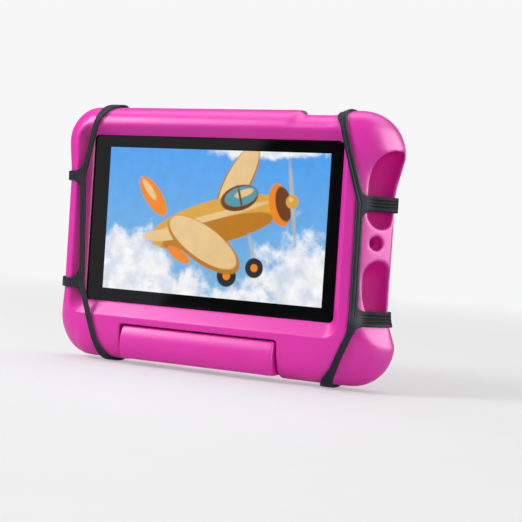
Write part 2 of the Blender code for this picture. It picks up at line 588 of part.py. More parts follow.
def player_shell(mats):
    frame = plate("mid_frame", 0.0, 0.0, PLAYER_SIZE.y - COVER_THICK - GAP, mats["plastic"])
    beyond = 20 * MM
    play = Vector((0.0, GAP, 0.0))
    panel_front, panel_back = Vector((0.0, PANEL_FRONT, 0.0)), Vector((0.0, PANEL_BACK, 0.0))
    jack_low = Vector((PLAYER_SIDE - 12.4 * MM, 1.4 * MM, JACK_Z - 3.5 * MM))
    jack_high = Vector((PLAYER_SIDE - 1.2 * MM, beyond, JACK_Z + 3.5 * MM))
    volume_half = Vector((9.4, 1.3, 0.0)) * MM
    volume_low = Vector((VOLUME_X, VOLUME_Y, PLAYER_TOP - 6 * MM)) - volume_half
    volume_high = Vector((VOLUME_X, VOLUME_Y, PLAYER_TOP + 3 * MM)) + volume_half
    mouth = PLAYER_SIDE - 6 * MM
    cuts = [
        plate("glass_pocket", FRAME_LIP, -1 * MM, GLASS_THICK + GAP),
        box("display_pocket", -PANEL_HALF + at(0.0, 0.5, 0.0), PANEL_HALF + panel_back + play),
        plate("rear_bay", BAY_WALL, PLATE_BACK, beyond),
        box("jack_pocket", jack_low, jack_high),
        rod("jack_mouth", (PLAYER_SIDE - 5 * MM, JACK_Y, JACK_Z), (9 * MM, 0, 0), 2.2 * MM),
        slot("charge_mouth", mouth, beyond, CHARGE_Y, CHARGE_Z, Vector((1.7, 4.2)) * MM),
        slot("power_mouth", mouth, beyond, POWER_Y, POWER_Z, Vector((1.2, 3.1)) * MM),
        box("front_camera_pocket", at(*FRONT_CAMERA_POCKET[0]), at(*FRONT_CAMERA_POCKET[1])),
        box("cable_window", at(*CABLE_WINDOW[0]), at(*CABLE_WINDOW[1])),
        box("volume_mouth", volume_low, volume_high),
    ]
    combine(frame, "DIFFERENCE", cuts)
    plate("touch_glass", GLASS_MARGIN, 0.0, GLASS_THICK, mats["glass"])
    half = PANEL_HALF - Vector((PANEL_PLAY, 0.0, PANEL_PLAY))
    box("display_panel", -half + panel_front, half + panel_back, mats["panel"])
    cover = plate("rear_cover", 0.0, PLAYER_SIZE.y - COVER_THICK, PLAYER_SIZE.y, mats["plastic"])
    start = (CAMERA_X, 5 * MM, CAMERA_Z)
    holes = [rod("lens_hole", start, (0, 10 * MM, 0), CAMERA_HALF + 0.2 * MM, sides=20)]
    for name, height in SPEAKERS.items():
        for row in (-1, 0, 1):
            centre = Vector((SPEAKER_X, PLAYER_SIZE.y, height + GRILLE_PITCH * row))
            half = GRILLE_HALF + Vector((0.0, 5 * MM, 0.0))
            holes.append(box(f"{name}_grille_{row + 2}", centre - half, centre + half))
    combine(cover, "DIFFERENCE", holes)
    lens_depth = PLAYER_SIZE.y - 0.2 * MM - LENS_FRONT
    start = (CAMERA_X, LENS_FRONT, CAMERA_Z)
    rod("rear_camera_lens", start, (0, lens_depth, 0), LENS_RADIUS, mats["glass"], 20)


def keys(mats):
    """The two keys and the switches behind them; each key has a flange that keeps it in its slot."""
    origin = Vector((PLAYER_SIDE, POWER_Y, POWER_Z))
    low, high = origin + at(-3.2, -0.9, -2.8), origin + at(1.0, 0.9, 2.8)
    power = box("power_button", low, high, mats["plastic"], origin=origin)
    flange = box("power_flange", origin + at(-4.1, -0.7, -4.0), origin + at(-3.1, 1.5, 4.0))
    combine(power, "UNION", [flange])
    box("power_switch", origin + at(-7.0, -0.4, -2.5), origin + at(-4.9, 1.7, 2.5), mats["metal"])
    centre = Vector((VOLUME_X, VOLUME_Y, PLAYER_TOP))
    pivot = centre - at(0.0, 0.0, 3.0)
    low, high = centre + at(-9.0, -1.0, -3.6), centre + at(9.0, 1.0, 1.0)
    rocker = box("volume_rocker", low, high, mats["plastic"], origin=pivot)
    flange = box("volume_flange", centre + at(-10.5, -0.8, -4.4), centre + at(10.5, 1.6, -3.4))
    combine(rocker, "UNION", [flange])
    box("volume_switch", centre + at(-8.0, -0.5, -6.8), centre + at(8.0, 1.8, -5.0), mats["metal"])


def sockets(mats):
    """The headphone jack and the charge port, each open towards the player's right side."""
    centre = Vector((PLAYER_SIDE, JACK_Y, JACK_Z))
    jack = box("headphone_jack", centre + at(-12.1, -2.3, -3.1), centre + at(-1.5, 2.3, 3.1), mats["plastic"])
    bore = rod("jack_bore", centre + at(-11.0, 0.0, 0.0), at(15.0, 0.0, 0.0), 1.75 * MM)
    combine(jack, "DIFFERENCE", [bore])
    centre = Vector((PLAYER_SIDE, CHARGE_Y, CHARGE_Z))
    port = box("charge_port", centre + at(-9.9, -1.4, -3.8), centre + at(-0.1, 1.4, 3.8), mats["metal"])
    inside = box("charge_port_inside", centre + at(-7.8, -1.0, -3.3), centre + at(3.0, 1.0, 3.3))
    combine(port, "DIFFERENCE", [inside])


def electronics(mats):
    board = box("main_board", at(*BOARD[0]), at(*BOARD[1]), mats["board"])
    cuts = []
    for name, (x, low, high) in BOARD_NOTCHES.items():
        cuts.append(box(f"{name}_notch", at(x, 4.0, low), at(BOARD_EDGE / MM, 8.0, high)))
    for index, (x, z) in enumerate(SCREWS, start=1):
        cuts.append(rod(f"screw_hole_{index}", at(x, 4.0, z), at(0.0, 4.0, 0.0), SCREW_HOLE, sides=12))
        screw(f"board_screw_{index}", at(x, 0.0, z), mats["metal"])
    combine(board, "DIFFERENCE", cuts)
    for name, (low, high, finish_name, corner) in BLOCKS.items():
        box(name, at(*low), at(*high), mats[finish_name], corner * MM)
    low = Vector((CAMERA_X - CAMERA_HALF, 6.2 * MM, CAMERA_Z - CAMERA_HALF))
    high = Vector((CAMERA_X + CAMERA_HALF, 8.1 * MM, CAMERA_Z + CAMERA_HALF))
    box("rear_camera", low, high, mats["plastic"])
    for name, height in SPEAKERS.items():
        low = Vector((SPEAKER_X, SPEAKER_FRONT, height)) - SPEAKER_HALF
        high = Vector((SPEAKER_X, SPEAKER_BACK, height)) + SPEAKER_HALF
        box(name, low, high, mats["plastic"], 1.5 * MM)
    outline = [at(x, y, RIBBON_BOTTOM) for x, y in RIBBON]
    prism("display_cable", outline, Vector((0.0, 0.0, RIBBON_WIDTH)), mats["board"])


def screw(name, centre, mat):
    """A pan-head screw turned about its own axis, its head behind the board."""
    bm = bmesh.new()
    points = [bm.verts.new((radius * MM, y * MM, 0.0)) for radius, y in SCREW_PROFILE]
    for first, second in zip(points, points[1:]):
        bm.edges.new((first, second))
    obj = add_object(name, bm, mat)
    obj.location = centre
    turn = obj.modifiers.new("turned", "SCREW")
    turn.axis = "Y"
    turn.steps = turn.render_steps = 12
    turn.use_merge_vertices = True
    turn.merge_threshold = 0.01 * MM
    turn.use_normal_calculate = True


def battery_lead(mats):
    curve = bpy.data.curves.new("battery_lead", "CURVE")
    curve.dimensions = "3D"
    curve.bevel_depth = LEAD_RADIUS
    curve.bevel_resolution = 1
    curve.use_fill_caps = True
    curve.render_resolution_u = 0
    line = curve.splines.new("POLY")
    line.points.add(len(LEAD_PATH) - 1)
    for point, place in zip(line.points, LEAD_PATH):
        point.co = (*at(*place), 1.0)
    curve.materials.append(mats["plastic"])
    obj = bpy.data.objects.new("battery_lead", curve)
    bpy.data.collections["media_player"].objects.link(obj)
    obj.parent = bpy.data.objects["player_origin"]


def shade_round_parts():
    for obj in bpy.data.collections["media_player"].objects:
        if obj.type == "MESH":
            obj.data.shade_smooth()
            obj.data.set_sharp_from_angle(angle=radians(35))


def main():
    clear_scene()
    mats = make_finishes()
    player_shell(mats)
    keys(mats)
    sockets(mats)
    electronics(mats)
    battery_lead(mats)
    bumper_case(mats)
    carry_handle(mats)
    harness(mats)
    shade_round_parts()


main()
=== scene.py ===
"""Looks of the handheld media player: foam bumper case, rubber harness, lit screen, light and camera.

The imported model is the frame, and lengths are metres.  The soft parts are drawn from the middle of the
lit display on the glass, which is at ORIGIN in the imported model.
"""
import json
from math import asin, cos, pi, radians, sin, tan

import bmesh
import bpy
from mathutils import Matrix, Vector
from mathutils.bvhtree import BVHTree


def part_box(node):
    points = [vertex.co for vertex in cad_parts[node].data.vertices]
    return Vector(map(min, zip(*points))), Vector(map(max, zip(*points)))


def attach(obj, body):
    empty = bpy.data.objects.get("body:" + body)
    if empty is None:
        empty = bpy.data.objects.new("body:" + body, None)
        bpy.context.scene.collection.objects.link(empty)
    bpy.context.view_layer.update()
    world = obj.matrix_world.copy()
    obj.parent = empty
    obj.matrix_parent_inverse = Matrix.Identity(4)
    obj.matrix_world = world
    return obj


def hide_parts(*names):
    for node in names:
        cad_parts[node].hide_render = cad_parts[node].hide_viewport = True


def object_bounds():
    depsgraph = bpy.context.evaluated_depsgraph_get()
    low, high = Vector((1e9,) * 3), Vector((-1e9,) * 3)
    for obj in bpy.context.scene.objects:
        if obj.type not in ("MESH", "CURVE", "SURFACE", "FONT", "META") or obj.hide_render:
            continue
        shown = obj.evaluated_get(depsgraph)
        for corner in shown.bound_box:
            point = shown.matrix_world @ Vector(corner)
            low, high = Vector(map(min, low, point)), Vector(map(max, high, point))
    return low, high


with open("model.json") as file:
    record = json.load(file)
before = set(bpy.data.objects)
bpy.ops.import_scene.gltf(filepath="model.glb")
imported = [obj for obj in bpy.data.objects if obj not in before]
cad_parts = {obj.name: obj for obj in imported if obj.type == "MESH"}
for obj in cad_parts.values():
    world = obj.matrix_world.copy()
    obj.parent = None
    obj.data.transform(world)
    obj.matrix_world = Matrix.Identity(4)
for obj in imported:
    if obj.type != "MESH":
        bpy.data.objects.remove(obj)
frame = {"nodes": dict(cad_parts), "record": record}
CAD_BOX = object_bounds()
MM = 0.001

PANEL_LOW, PANEL_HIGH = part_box("display_panel")
GLASS_LOW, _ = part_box("touch_glass")
ORIGIN = Vector(((PANEL_LOW.x + PANEL_HIGH.x) / 2, GLASS_LOW.y, (PANEL_LOW.z + PANEL_HIGH.z) / 2))
ROOT = "player_and_case"

# Bumper case: each side is (reach low, reach at the waist, reach high), measured from the middle
CASE_FRONT, CASE_WIDEST, CASE_BACK = -7.0 * MM, 11.5 * MM, 18.0 * MM
CASE_TOP, CASE_BOTTOM = 71.0 * MM, -89.5 * MM
CASE_RIGHT = (118.6 * MM, 113.0 * MM, 118.0 * MM)
CASE_LEFT = (112.0 * MM, 111.5 * MM, 114.0 * MM)
CASE_CORNERS = (25.0 * MM, 27.0 * MM, 22.0 * MM, 22.0 * MM)
WAIST_TOP, WAIST_BOTTOM, WAIST_REACH = 20.0 * MM, -46.0 * MM, 22.0 * MM
BACK_INSET, FRONT_INSET = 6.0 * MM, 1.2 * MM
DIP_START, DIP_END, DIP_BLEND, DIP_DEPTH = 54.0 * MM, 87.0 * MM, 5.0 * MM, 2.6 * MM

# Section of the case from its crest to its widest point: powers of the curve, and where they change
SOFT_POWER, CORNER_POWER, LEFT_POWER, BOTTOM_POWER = 1.5, 2.3, 1.6, 3.2
POWER_BLEND = 16.0 * MM
SIDE_START, SIDE_BLEND = 84.0 * MM, 12.0 * MM
LEFT_START, LEFT_BLEND = -110.0 * MM, 30.0 * MM

# Window: crest outline at the front, opening outline at the glass (left, right, bottom, top)
CREST = (-98.0 * MM, 90.0 * MM, -61.8 * MM, 58.2 * MM)
OPENING = (-88.4 * MM, 85.0 * MM, -53.0 * MM, 52.0 * MM)
CREST_CORNER, OPENING_CORNER = 9.0 * MM, 3.0 * MM
LIP_THICK, WINDOW_OVERCUT = 1.2 * MM, 1.0 * MM

# Carry handle: a crowned grip in the bottom notch and two arms on pins in the back
HANDLE_X, GRIP_HALF = -2.9 * MM, 53.5 * MM
GRIP_TOP, GRIP_BOTTOM = -67.0 * MM, -87.6 * MM
GRIP_CROWN, GRIP_EDGE, GRIP_BACK = -8.4 * MM, -5.0 * MM, 17.6 * MM
GRIP_ROUND, GRIP_END_ROUND, CROWN_STEPS, ROUND_STEPS = 4.0 * MM, 2.4 * MM, 16, 8
ARM_WIDTH, ARM_FRONT, ARM_INTO_GRIP = 11.0 * MM, 12.6 * MM, 6.0 * MM
ARM_INSET, ARM_SINK, BORE = 0.01 * MM, 0.02 * MM, 1.9 * MM
PIVOT_Y, PIVOT_Z, PIN_RADIUS, PIN_REACH = 15.1 * MM, 6.0 * MM, 1.6 * MM, 7.0 * MM
NOTCH_HALF, NOTCH_TOP, NOTCH_CORNER = 55.0 * MM, -66.0 * MM, 1.5 * MM
NOTCH_FRONT, NOTCH_DROP = -20.0 * MM, 10.0 * MM
CHANNEL_LOW, CHANNEL_TOP = -100.0 * MM, 90.0 * MM
CHANNEL_ROOM, CHANNEL_GAP = 0.8 * MM, 0.4 * MM

# Player's outline as (x, z) corners, and the room round it
PLAYER_LOW, PLAYER_HIGH = (-97.7 * MM, -58.0 * MM), (94.3 * MM, 57.0 * MM)
PLAYER_BACK, CAVITY_SPARE, CAVITY_CORNER = 9.6 * MM, 0.4 * MM, 9.4 * MM
GAP = 0.3 * MM

# Side openings: two finger scoops, the jack hole with its dish, and the slots behind the harness tabs
SCOOP_X, SCOOP_Y, SCOOP_RADIUS = 112.1 * MM, 2.0 * MM, 11.0 * MM
SCOOP_FADE, SCOOP_RISE, SCOOP_LEAN = 7.0 * MM, 22.0 * MM, (0.45, 0.89)
SCOOPS = ((1.4 * MM, 47.5 * MM, 1), (-14.6 * MM, -52.5 * MM, -1))
JACK_Y, JACK_Z, JACK_HOLE, JACK_LENGTH = 3.9 * MM, -5.3 * MM, 2.3 * MM, 40.0 * MM
JACK_DISH, DISH_RADIUS = Vector((107.3, 2.6, -5.6)) * MM, 4.2 * MM
POWER_SLOT = (5.6 * MM, 17.0 * MM, 2.4 * MM, 3.6 * MM)
CHARGE_SLOT = (6.3 * MM, -48.8 * MM - 0.5 * MM, 2.6 * MM, 3.8 * MM)
SLOT_LENGTH, SLOT_CORNER, INTO_PLAYER = 15.0 * MM, 1.0 * MM, 1.0 * MM

# Openings in the top and back: the volume key's cut-out, the camera and the two speakers
FAR_BACK, BEHIND_PLAYER = 30.0 * MM, 9.0 * MM
VOLUME_CUT = ((53.0 * MM, 3.4 * MM, 56.0 * MM), (75.0 * MM, FAR_BACK, 80.0 * MM))
CAMERA_X, CAMERA_Z, CAMERA_HOLE, CAMERA_LENGTH = 72.5 * MM, 37.0 * MM, 8.0 * MM, 20.0 * MM
SPEAKER_OPENING, SPEAKER_CORNER = (5.0 * MM, 9.0 * MM), 4.0 * MM

# Harness: rubber stood off the case by GAP; one entry a side, with half widths of strap and tab
RUBBER, NET_START, NET_DEPTH = 1.6 * MM, -40.0 * MM, 90.0 * MM
FLARE, NECK, OVERRUN = 5.0 * MM, 17.0 * MM, 6.0 * MM
BEND, STEP, FILLET_STEPS = 12.0 * MM, 1.0 * MM, 8
HARNESS = {
    "left": dict(
        side=-1, run=(91.2 * MM, 87.4 * MM), meet=(91.2 * MM, 87.4 * MM), top=79.5 * MM, bottom=70.0 * MM,
        tabs=(25.6 * MM, -43.0 * MM), strap=1.9 * MM, tab=3.0 * MM, fillet=8.0 * MM,
    ),
    "right": dict(
        side=1, run=(98.4 * MM, 98.8 * MM), meet=(99.3 * MM, 102.5 * MM), top=82.0 * MM, bottom=81.5 * MM,
        tabs=(17.0 * MM, -49.0 * MM), strap=2.1 * MM, tab=4.4 * MM, fillet=4.0 * MM,
    ),
}

# How deep a cut counts as wholly inside it, for the case's painted shade
RECESS_REACH = 6.0 * MM

CORNER_STEPS, SIDE_STEPS, TOP_STEPS, FRONT_STEPS, BACK_STEPS = 20, 48, 60, 24, 10
SCOOP_STEPS, SCOOP_SIDES, ROD_SIDES = 12, 48, 48
CASE_VOXEL, HANDLE_VOXEL, NET_VOXEL = 0.75 * MM, 0.6 * MM, 0.4 * MM
CASE_ROUNDS, HANDLE_ROUNDS, NET_ROUNDS = 4, 5, 4

# View: azimuth, elevation and roll about a point beside the display's middle
VIEW_AZIMUTH, VIEW_ELEVATION, VIEW_ROLL = radians(26.906), radians(1.322), radians(3.721)
VIEW_DISTANCE, VIEW_LENS, SENSOR_WIDTH = 721.2 * MM, 83.28, 36.0
VIEW_TARGET = Vector((35.4, 0.0, -20.4)) * MM

# Surroundings: what the camera, the matt surfaces and the gloss see where there is nothing
BACKDROP, FLOOR_GLOW = 0.93, 0.22
AMBIENT, ROOM = (0.25, 0.245, 0.255), (0.12, 0.12, 0.13)

# Floor: its half size, drop below the object, and the distances and shares of its fade
FLOOR_REACH, FLOOR_DROP = 6.0, 0.2 * MM
FADE_START, FADE_END, FADE_LEAST = 0.12, 1.3, 0.4
FLOOR_SHADES = ((0.79, 0.79, 0.79), (0.82, 0.82, 0.82))

# Dark card that the glass mirrors: its plane, extent, soft edge and shades, and two points of that
# edge as it is seen on the glass, in millimetres from the display's middle
FLAG_Y, FLAG_LOW, FLAG_HIGH = -0.5, (-1.0, 0.0), (0.06, 0.6)
FLAG_SOFT, FLAG_SHADES = 0.012, ((0.46, 0.46, 0.48), (0.045, 0.045, 0.045))
FLAG_EDGE = ((33.0, 50.0), (-30.5, -49.0))


# ---------------------------------------- meshes

def new_piece(name, bm, place=ORIGIN):
    mesh = bpy.data.meshes.new(name)
    bm.to_mesh(mesh)
    bm.free()
    obj = bpy.data.objects.new(name, mesh)
    bpy.context.scene.collection.objects.link(obj)
    obj.location = place
    return obj


def loft(rows):
    bm = bmesh.new()
    loops = [[bm.verts.new(point) for point in row] for row in rows]
    count = len(rows[0])
    for near, far in zip(loops, loops[1:]):
        for i in range(count):
            j = (i + 1) % count
            bm.faces.new((near[i], near[j], far[j], far[i]))
    bm.faces.new(loops[0])
    bm.faces.new(loops[-1])
    bmesh.ops.recalc_face_normals(bm, faces=bm.faces)
    return bm


def box(name, low, high, corner=0.0, axis=1):
    low, high = Vector(low), Vector(high)
    bm = bmesh.new()
    bmesh.ops.create_cube(bm, size=1.0)
    bmesh.ops.scale(bm, vec=high - low, verts=bm.verts)
    bmesh.ops.translate(bm, vec=(low + high) / 2, verts=bm.verts)
    if corner:
        along = [e for e in bm.edges if abs(e.verts[0].co[axis] - e.verts[1].co[axis]) > 0.1 * MM]
        bmesh.ops.bevel(bm, geom=along, offset=corner, segments=8, profile=0.5, affect="EDGES")
    return new_piece(name, bm)


def rod(name, start, along, radius):
    along = Vector(along)
    bm = bmesh.new()
    bmesh.ops.create_cone(
        bm, cap_ends=True, segments=ROD_SIDES, radius1=radius, radius2=radius, depth=along.length)
    turn = Vector((0.0, 0.0, 1.0)).rotation_difference(along).to_matrix().to_4x4()
    bmesh.ops.transform(bm, matrix=Matrix.Translation(Vector(start) + along / 2) @ turn, verts=bm.verts)
    return new_piece(name, bm)


def ball(name, centre, radius):
    bm = bmesh.new()
    bmesh.ops.create_icosphere(bm, subdivisions=4, radius=radius)
    bmesh.ops.translate(bm, vec=centre, verts=bm.verts)
    return new_piece(name, bm)


def prism(name, outline, direction):
    bm = bmesh.new()
    face = bm.faces.new([bm.verts.new(point) for point in outline])
    moved = bmesh.ops.extrude_face_region(bm, geom=[face])
    tops = [item for item in moved["geom"] if isinstance(item, bmesh.types.BMVert)]
    bmesh.ops.translate(bm, vec=direction, verts=tops)
    bmesh.ops.recalc_face_normals(bm, faces=bm.faces)
    return new_piece(name, bm)


def combine(target, operation, others):
    for other in others:
        modifier = target.modifiers.new("combine", "BOOLEAN")
        modifier.operation = operation
        modifier.solver = "EXACT"
        modifier.object = other


def mark_recesses(case):
    """Stores, point by point, how deep the surface lies under the uncut body's surface, up to a limit."""
    whole = case_body("whole_body")
    near = BVHTree.FromObject(whole, bpy.context.evaluated_depsgraph_get())
    depths = case.data.attributes.new("recess", "FLOAT", "POINT")
    values = []
    for vertex in case.data.vertices:
        found = near.find_nearest(vertex.co, RECESS_REACH)
        values.append(1.0 if found[0] is None else found[3] / RECESS_REACH)
    depths.data.foreach_set("value", values)
    bpy.data.objects.remove(whole, do_unlink=True)


def soften(target, voxel, rounds, helpers):
    """Remeshes evenly and smooths, which rounds every cut edge, then keeps only the result."""
    remesh = target.modifiers.new("even", "REMESH")
    remesh.mode = "VOXEL"
    remesh.voxel_size = voxel
    smooth_edges = target.modifiers.new("soften", "SMOOTH")
    smooth_edges.factor = 0.5
    smooth_edges.iterations = rounds
    settle(target)
    for helper in helpers:
        bpy.data.objects.remove(helper, do_unlink=True)
    target.data.shade_smooth()
    return target


def settle(target):
    """Replaces the piece's mesh with its evaluated one, so no modifier is left."""
    bpy.context.view_layer.update()
    result = bpy.data.meshes.new_from_object(target.evaluated_get(bpy.context.evaluated_depsgraph_get()))
    target.modifiers.clear()
    target.data = result


# ---------------------------------------- the case's lofted body

def smooth(t):
    t = min(max(t, 0.0), 1.0)
    return t * t * (3 - 2 * t)


def between(first, last, count):
    return [first + (last - first) * i / count for i in range(1, count)]


def draw_in(z, widths):
    """How far a side is drawn in from its top corner's width at a height."""
    low, waist, high = widths
    if z > (WAIST_TOP + WAIST_BOTTOM) / 2:
        start = CASE_TOP - WAIST_REACH
        return (high - waist) * smooth((start - z) / (start - WAIST_TOP))
    start = CASE_BOTTOM + WAIST_REACH
    return high - low + (low - waist) * smooth((z - start) / (WAIST_BOTTOM - start))


def dip(x):
    """How far the top edge steps down beside the right strap."""
    return DIP_DEPTH * smooth((x - DIP_START) / DIP_BLEND) * smooth((DIP_END - x) / DIP_BLEND)


def softness(x, z):
    """The power of the side's section: soft at the waist, fuller towards the corners."""
    into_waist = min(CASE_TOP - WAIST_REACH - z, z - CASE_BOTTOM - WAIST_REACH) / POWER_BLEND
    corner_power = LEFT_POWER + (CORNER_POWER - LEFT_POWER) * smooth((x - LEFT_START) / LEFT_BLEND)
    return corner_power + (SOFT_POWER - corner_power) * smooth(into_waist)


def ring(left, right, bottom, top, corners, left_in=None, right_in=None, dip_of=None):
    """A rounded rectangle of (x, z) points; left and right are (x low, x high)."""
    (left_low, left_high), (right_low, right_high) = left, right
    first, second, third, fourth = corners
    centres = (
        (right_low - first, bottom + first, -90.0, first),
        (right_high - second, top - second, 0.0, second),
        (left_high + third, top - third, 90.0, third),
        (left_low + fourth, bottom + fourth, 180.0, fourth),
    )
    arcs = []
    for x, z, start, corner in centres:
        turns = [radians(start + 90.0 * i / CORNER_STEPS) for i in range(CORNER_STEPS + 1)]
        arcs.append([(x + corner * cos(turn), z + corner * sin(turn)) for turn in turns])
    points = list(arcs[0])
    for z in between(arcs[0][-1][1], arcs[1][0][1], SIDE_STEPS):
        points.append((right_high - (right_in(z) if right_in else 0.0), z))
    points += arcs[1]
    for x in between(arcs[1][-1][0], arcs[2][0][0], TOP_STEPS):
        points.append((x, top - (dip_of(x) if dip_of else 0.0)))
    points += arcs[2]
    for z in between(arcs[2][-1][1], arcs[3][0][1], SIDE_STEPS):
        points.append((left_high + (left_in(z) if left_in else 0.0), z))
    points += arcs[3]
    points += [(x, bottom) for x in between(arcs[3][-1][0], arcs[0][0][0], TOP_STEPS)]
    return points


def case_body(name, grow=0.0):
    """The outer body without its window, lofted from the front face round to the back."""
    inset = FRONT_INSET
    left, right, bottom, top = CREST
    sides = (left + inset,) * 2, (right - inset,) * 2
    front = ring(*sides, bottom + inset, top - inset, (CREST_CORNER - inset,) * 4)

    def outline(step):
        left_x = (-CASE_LEFT[0] - step, -CASE_LEFT[2] - step)
        right_x = (CASE_RIGHT[0] + step, CASE_RIGHT[2] + step)
        corners = [corner + step for corner in CASE_CORNERS]
        left_in, right_in = (lambda z: draw_in(z, CASE_LEFT)), (lambda z: draw_in(z, CASE_RIGHT))
        return ring(left_x, right_x, CASE_BOTTOM - step, CASE_TOP + step, corners, left_in, right_in, dip)

    widest, back = outline(grow), outline(grow - BACK_INSET)
    rows = []
    for step in range(FRONT_STEPS + 1):
        angle = pi / 2 * step / FRONT_STEPS
        row = []
        for (xf, zf), (xw, zw) in zip(front, widest):
            waist_share = smooth((abs(xw) - SIDE_START) / SIDE_BLEND)
            middle = CORNER_POWER if zw > 0 else BOTTOM_POWER
            power = 2 / (middle + (softness(xw, zw) - middle) * waist_share)
            out, fore = sin(angle) ** power, cos(angle) ** power if step < FRONT_STEPS else 0.0
            y = CASE_WIDEST - (CASE_WIDEST - CASE_FRONT + grow) * fore
            row.append((xf + (xw - xf) * out, y, zf + (zw - zf) * out))
        rows.append(row)
    for step in range(1, BACK_STEPS + 1):
        angle = pi / 2 * step / BACK_STEPS
        y = CASE_WIDEST + (CASE_BACK + grow - CASE_WIDEST) * sin(angle)
        away = 1 - cos(angle)
        pairs = zip(widest, back)
        rows.append([(xw + (xb - xw) * away, y, zw + (zb - zw) * away) for (xw, zw), (xb, zb) in pairs])
    return new_piece(name, loft(rows))


def window_cutter():
    """The window's funnel, from past the crest down to the glass."""
    depth = -(CASE_FRONT + LIP_THICK)
    levels = (
        (1 + WINDOW_OVERCUT / depth, CASE_FRONT - WINDOW_OVERCUT),
        (0.0, -LIP_THICK),
        (0.0, 2 * GAP),
    )
    rows = []
    for share, y in levels:
        edges = [low + (high - low) * share for low, high in zip(OPENING, CREST)]
        corner = OPENING_CORNER + (CREST_CORNER - OPENING_CORNER) * share
        outline = ring((edges[0],) * 2, (edges[1],) * 2, edges[2], edges[3], (corner,) * 4)
        rows.append([(x, y, z) for x, z in outline])
    return new_piece("window_cut", loft(rows))


def scoop_cutter(name, round_end, flat_end, way):
    """An upright groove with a ball end and a filleted flat end that stays open at the back."""
    sections = []
    for i in range(1, SCOOP_STEPS + 1):
        angle = pi / 2 * i / SCOOP_STEPS
        z = round_end + way * SCOOP_RADIUS * (1 - cos(angle))
        sections.append((SCOOP_RADIUS * sin(angle), z, 0.0))
    for i in range(SCOOP_STEPS + 1):
        angle = pi / 2 * i / SCOOP_STEPS
        small = SCOOP_FADE * (1 - cos(angle))
        sections.append((SCOOP_RADIUS - small, flat_end - way * SCOOP_RISE * (1 - sin(angle)), small))
    rows = []
    for radius, z, shift in sections:
        x, y = SCOOP_X + SCOOP_LEAN[0] * shift, SCOOP_Y + SCOOP_LEAN[1] * shift
        turns = [2 * pi * i / SCOOP_SIDES for i in range(SCOOP_SIDES)]
        rows.append([(x + radius * cos(turn), y + radius * sin(turn), z) for turn in turns])
    return new_piece(name, loft(rows))


def side_slot(name, y, z, half_y, half_z):
    """A slot from the player's right side outward."""
    start = PLAYER_HIGH[0]
    low = (start - INTO_PLAYER, y - half_y, z - half_z)
    high = (start + SLOT_LENGTH, y + half_y, z + half_z)
    return box(name, low, high, SLOT_CORNER, 0)


def handle_room():
    """The notch for the grip, and a channel and a pin hole for each arm."""
    notch_low = (HANDLE_X - NOTCH_HALF, NOTCH_FRONT, CASE_BOTTOM - NOTCH_DROP)
    cuts = [box("notch", notch_low, (HANDLE_X + NOTCH_HALF, FAR_BACK, NOTCH_TOP), NOTCH_CORNER)]
    for side in (-1, 1):
        middle = HANDLE_X + side * (GRIP_HALF - ARM_WIDTH / 2)
        room = ARM_WIDTH / 2 + CHANNEL_ROOM
        channel_low = (middle - room, ARM_FRONT - CHANNEL_GAP, CHANNEL_LOW)
        cuts.append(box(f"channel_{side}", channel_low, (middle + room, FAR_BACK, CHANNEL_TOP)))
        reach = ARM_WIDTH + 2 * PIN_REACH
        start = (middle - reach / 2, PIVOT_Y, PIVOT_Z)
        cuts.append(rod(f"pin_hole_{side}", start, (reach, 0, 0), PIN_RADIUS + GAP))
    return cuts


def speaker_opening(name):
    """An opening in the back, over the middle of one of the frame's speakers."""
    low, high = (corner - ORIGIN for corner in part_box(name))
    x, z = (low.x + high.x) / 2, (low.z + high.z) / 2
    half_x, half_z = SPEAKER_OPENING
    opening_low = (x - half_x, BEHIND_PLAYER, z - half_z)
    return box(f"{name}_opening", opening_low, (x + half_x, FAR_BACK, z + half_z), SPEAKER_CORNER)


def build_case():
    case = case_body("foam_case")
    spare = CAVITY_SPARE
    (left, low), (right, high) = PLAYER_LOW, PLAYER_HIGH
    cavity_high = (right + spare, PLAYER_BACK + spare, high + spare)
    cavity = box("cavity", (left - spare, -GAP, low - spare), cavity_high, CAVITY_CORNER)
    cuts = [window_cutter(), cavity] + handle_room()
    cuts += [scoop_cutter(f"scoop_{index}", *span) for index, span in enumerate(SCOOPS)]
    cuts.append(rod("jack_hole", (right - INTO_PLAYER, JACK_Y, JACK_Z), (JACK_LENGTH, 0, 0), JACK_HOLE))
    cuts.append(ball("jack_dish", JACK_DISH, DISH_RADIUS))
    cuts.append(side_slot("power_slot", *POWER_SLOT))
    cuts.append(side_slot("charge_slot", *CHARGE_SLOT))
    cuts.append(box("volume_scoop", *VOLUME_CUT))
    camera = (CAMERA_X, BEHIND_PLAYER, CAMERA_Z)
    cuts.append(rod("camera_hole", camera, (0, CAMERA_LENGTH, 0), CAMERA_HOLE))
    cuts += [speaker_opening(name) for name in ("speaker_upper", "speaker_lower")]
    combine(case, "DIFFERENCE", cuts)
    soften(case, CASE_VOXEL, CASE_ROUNDS, cuts)
    mark_recesses(case)
    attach(case, ROOT)
    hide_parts("bumper_case")
    return case


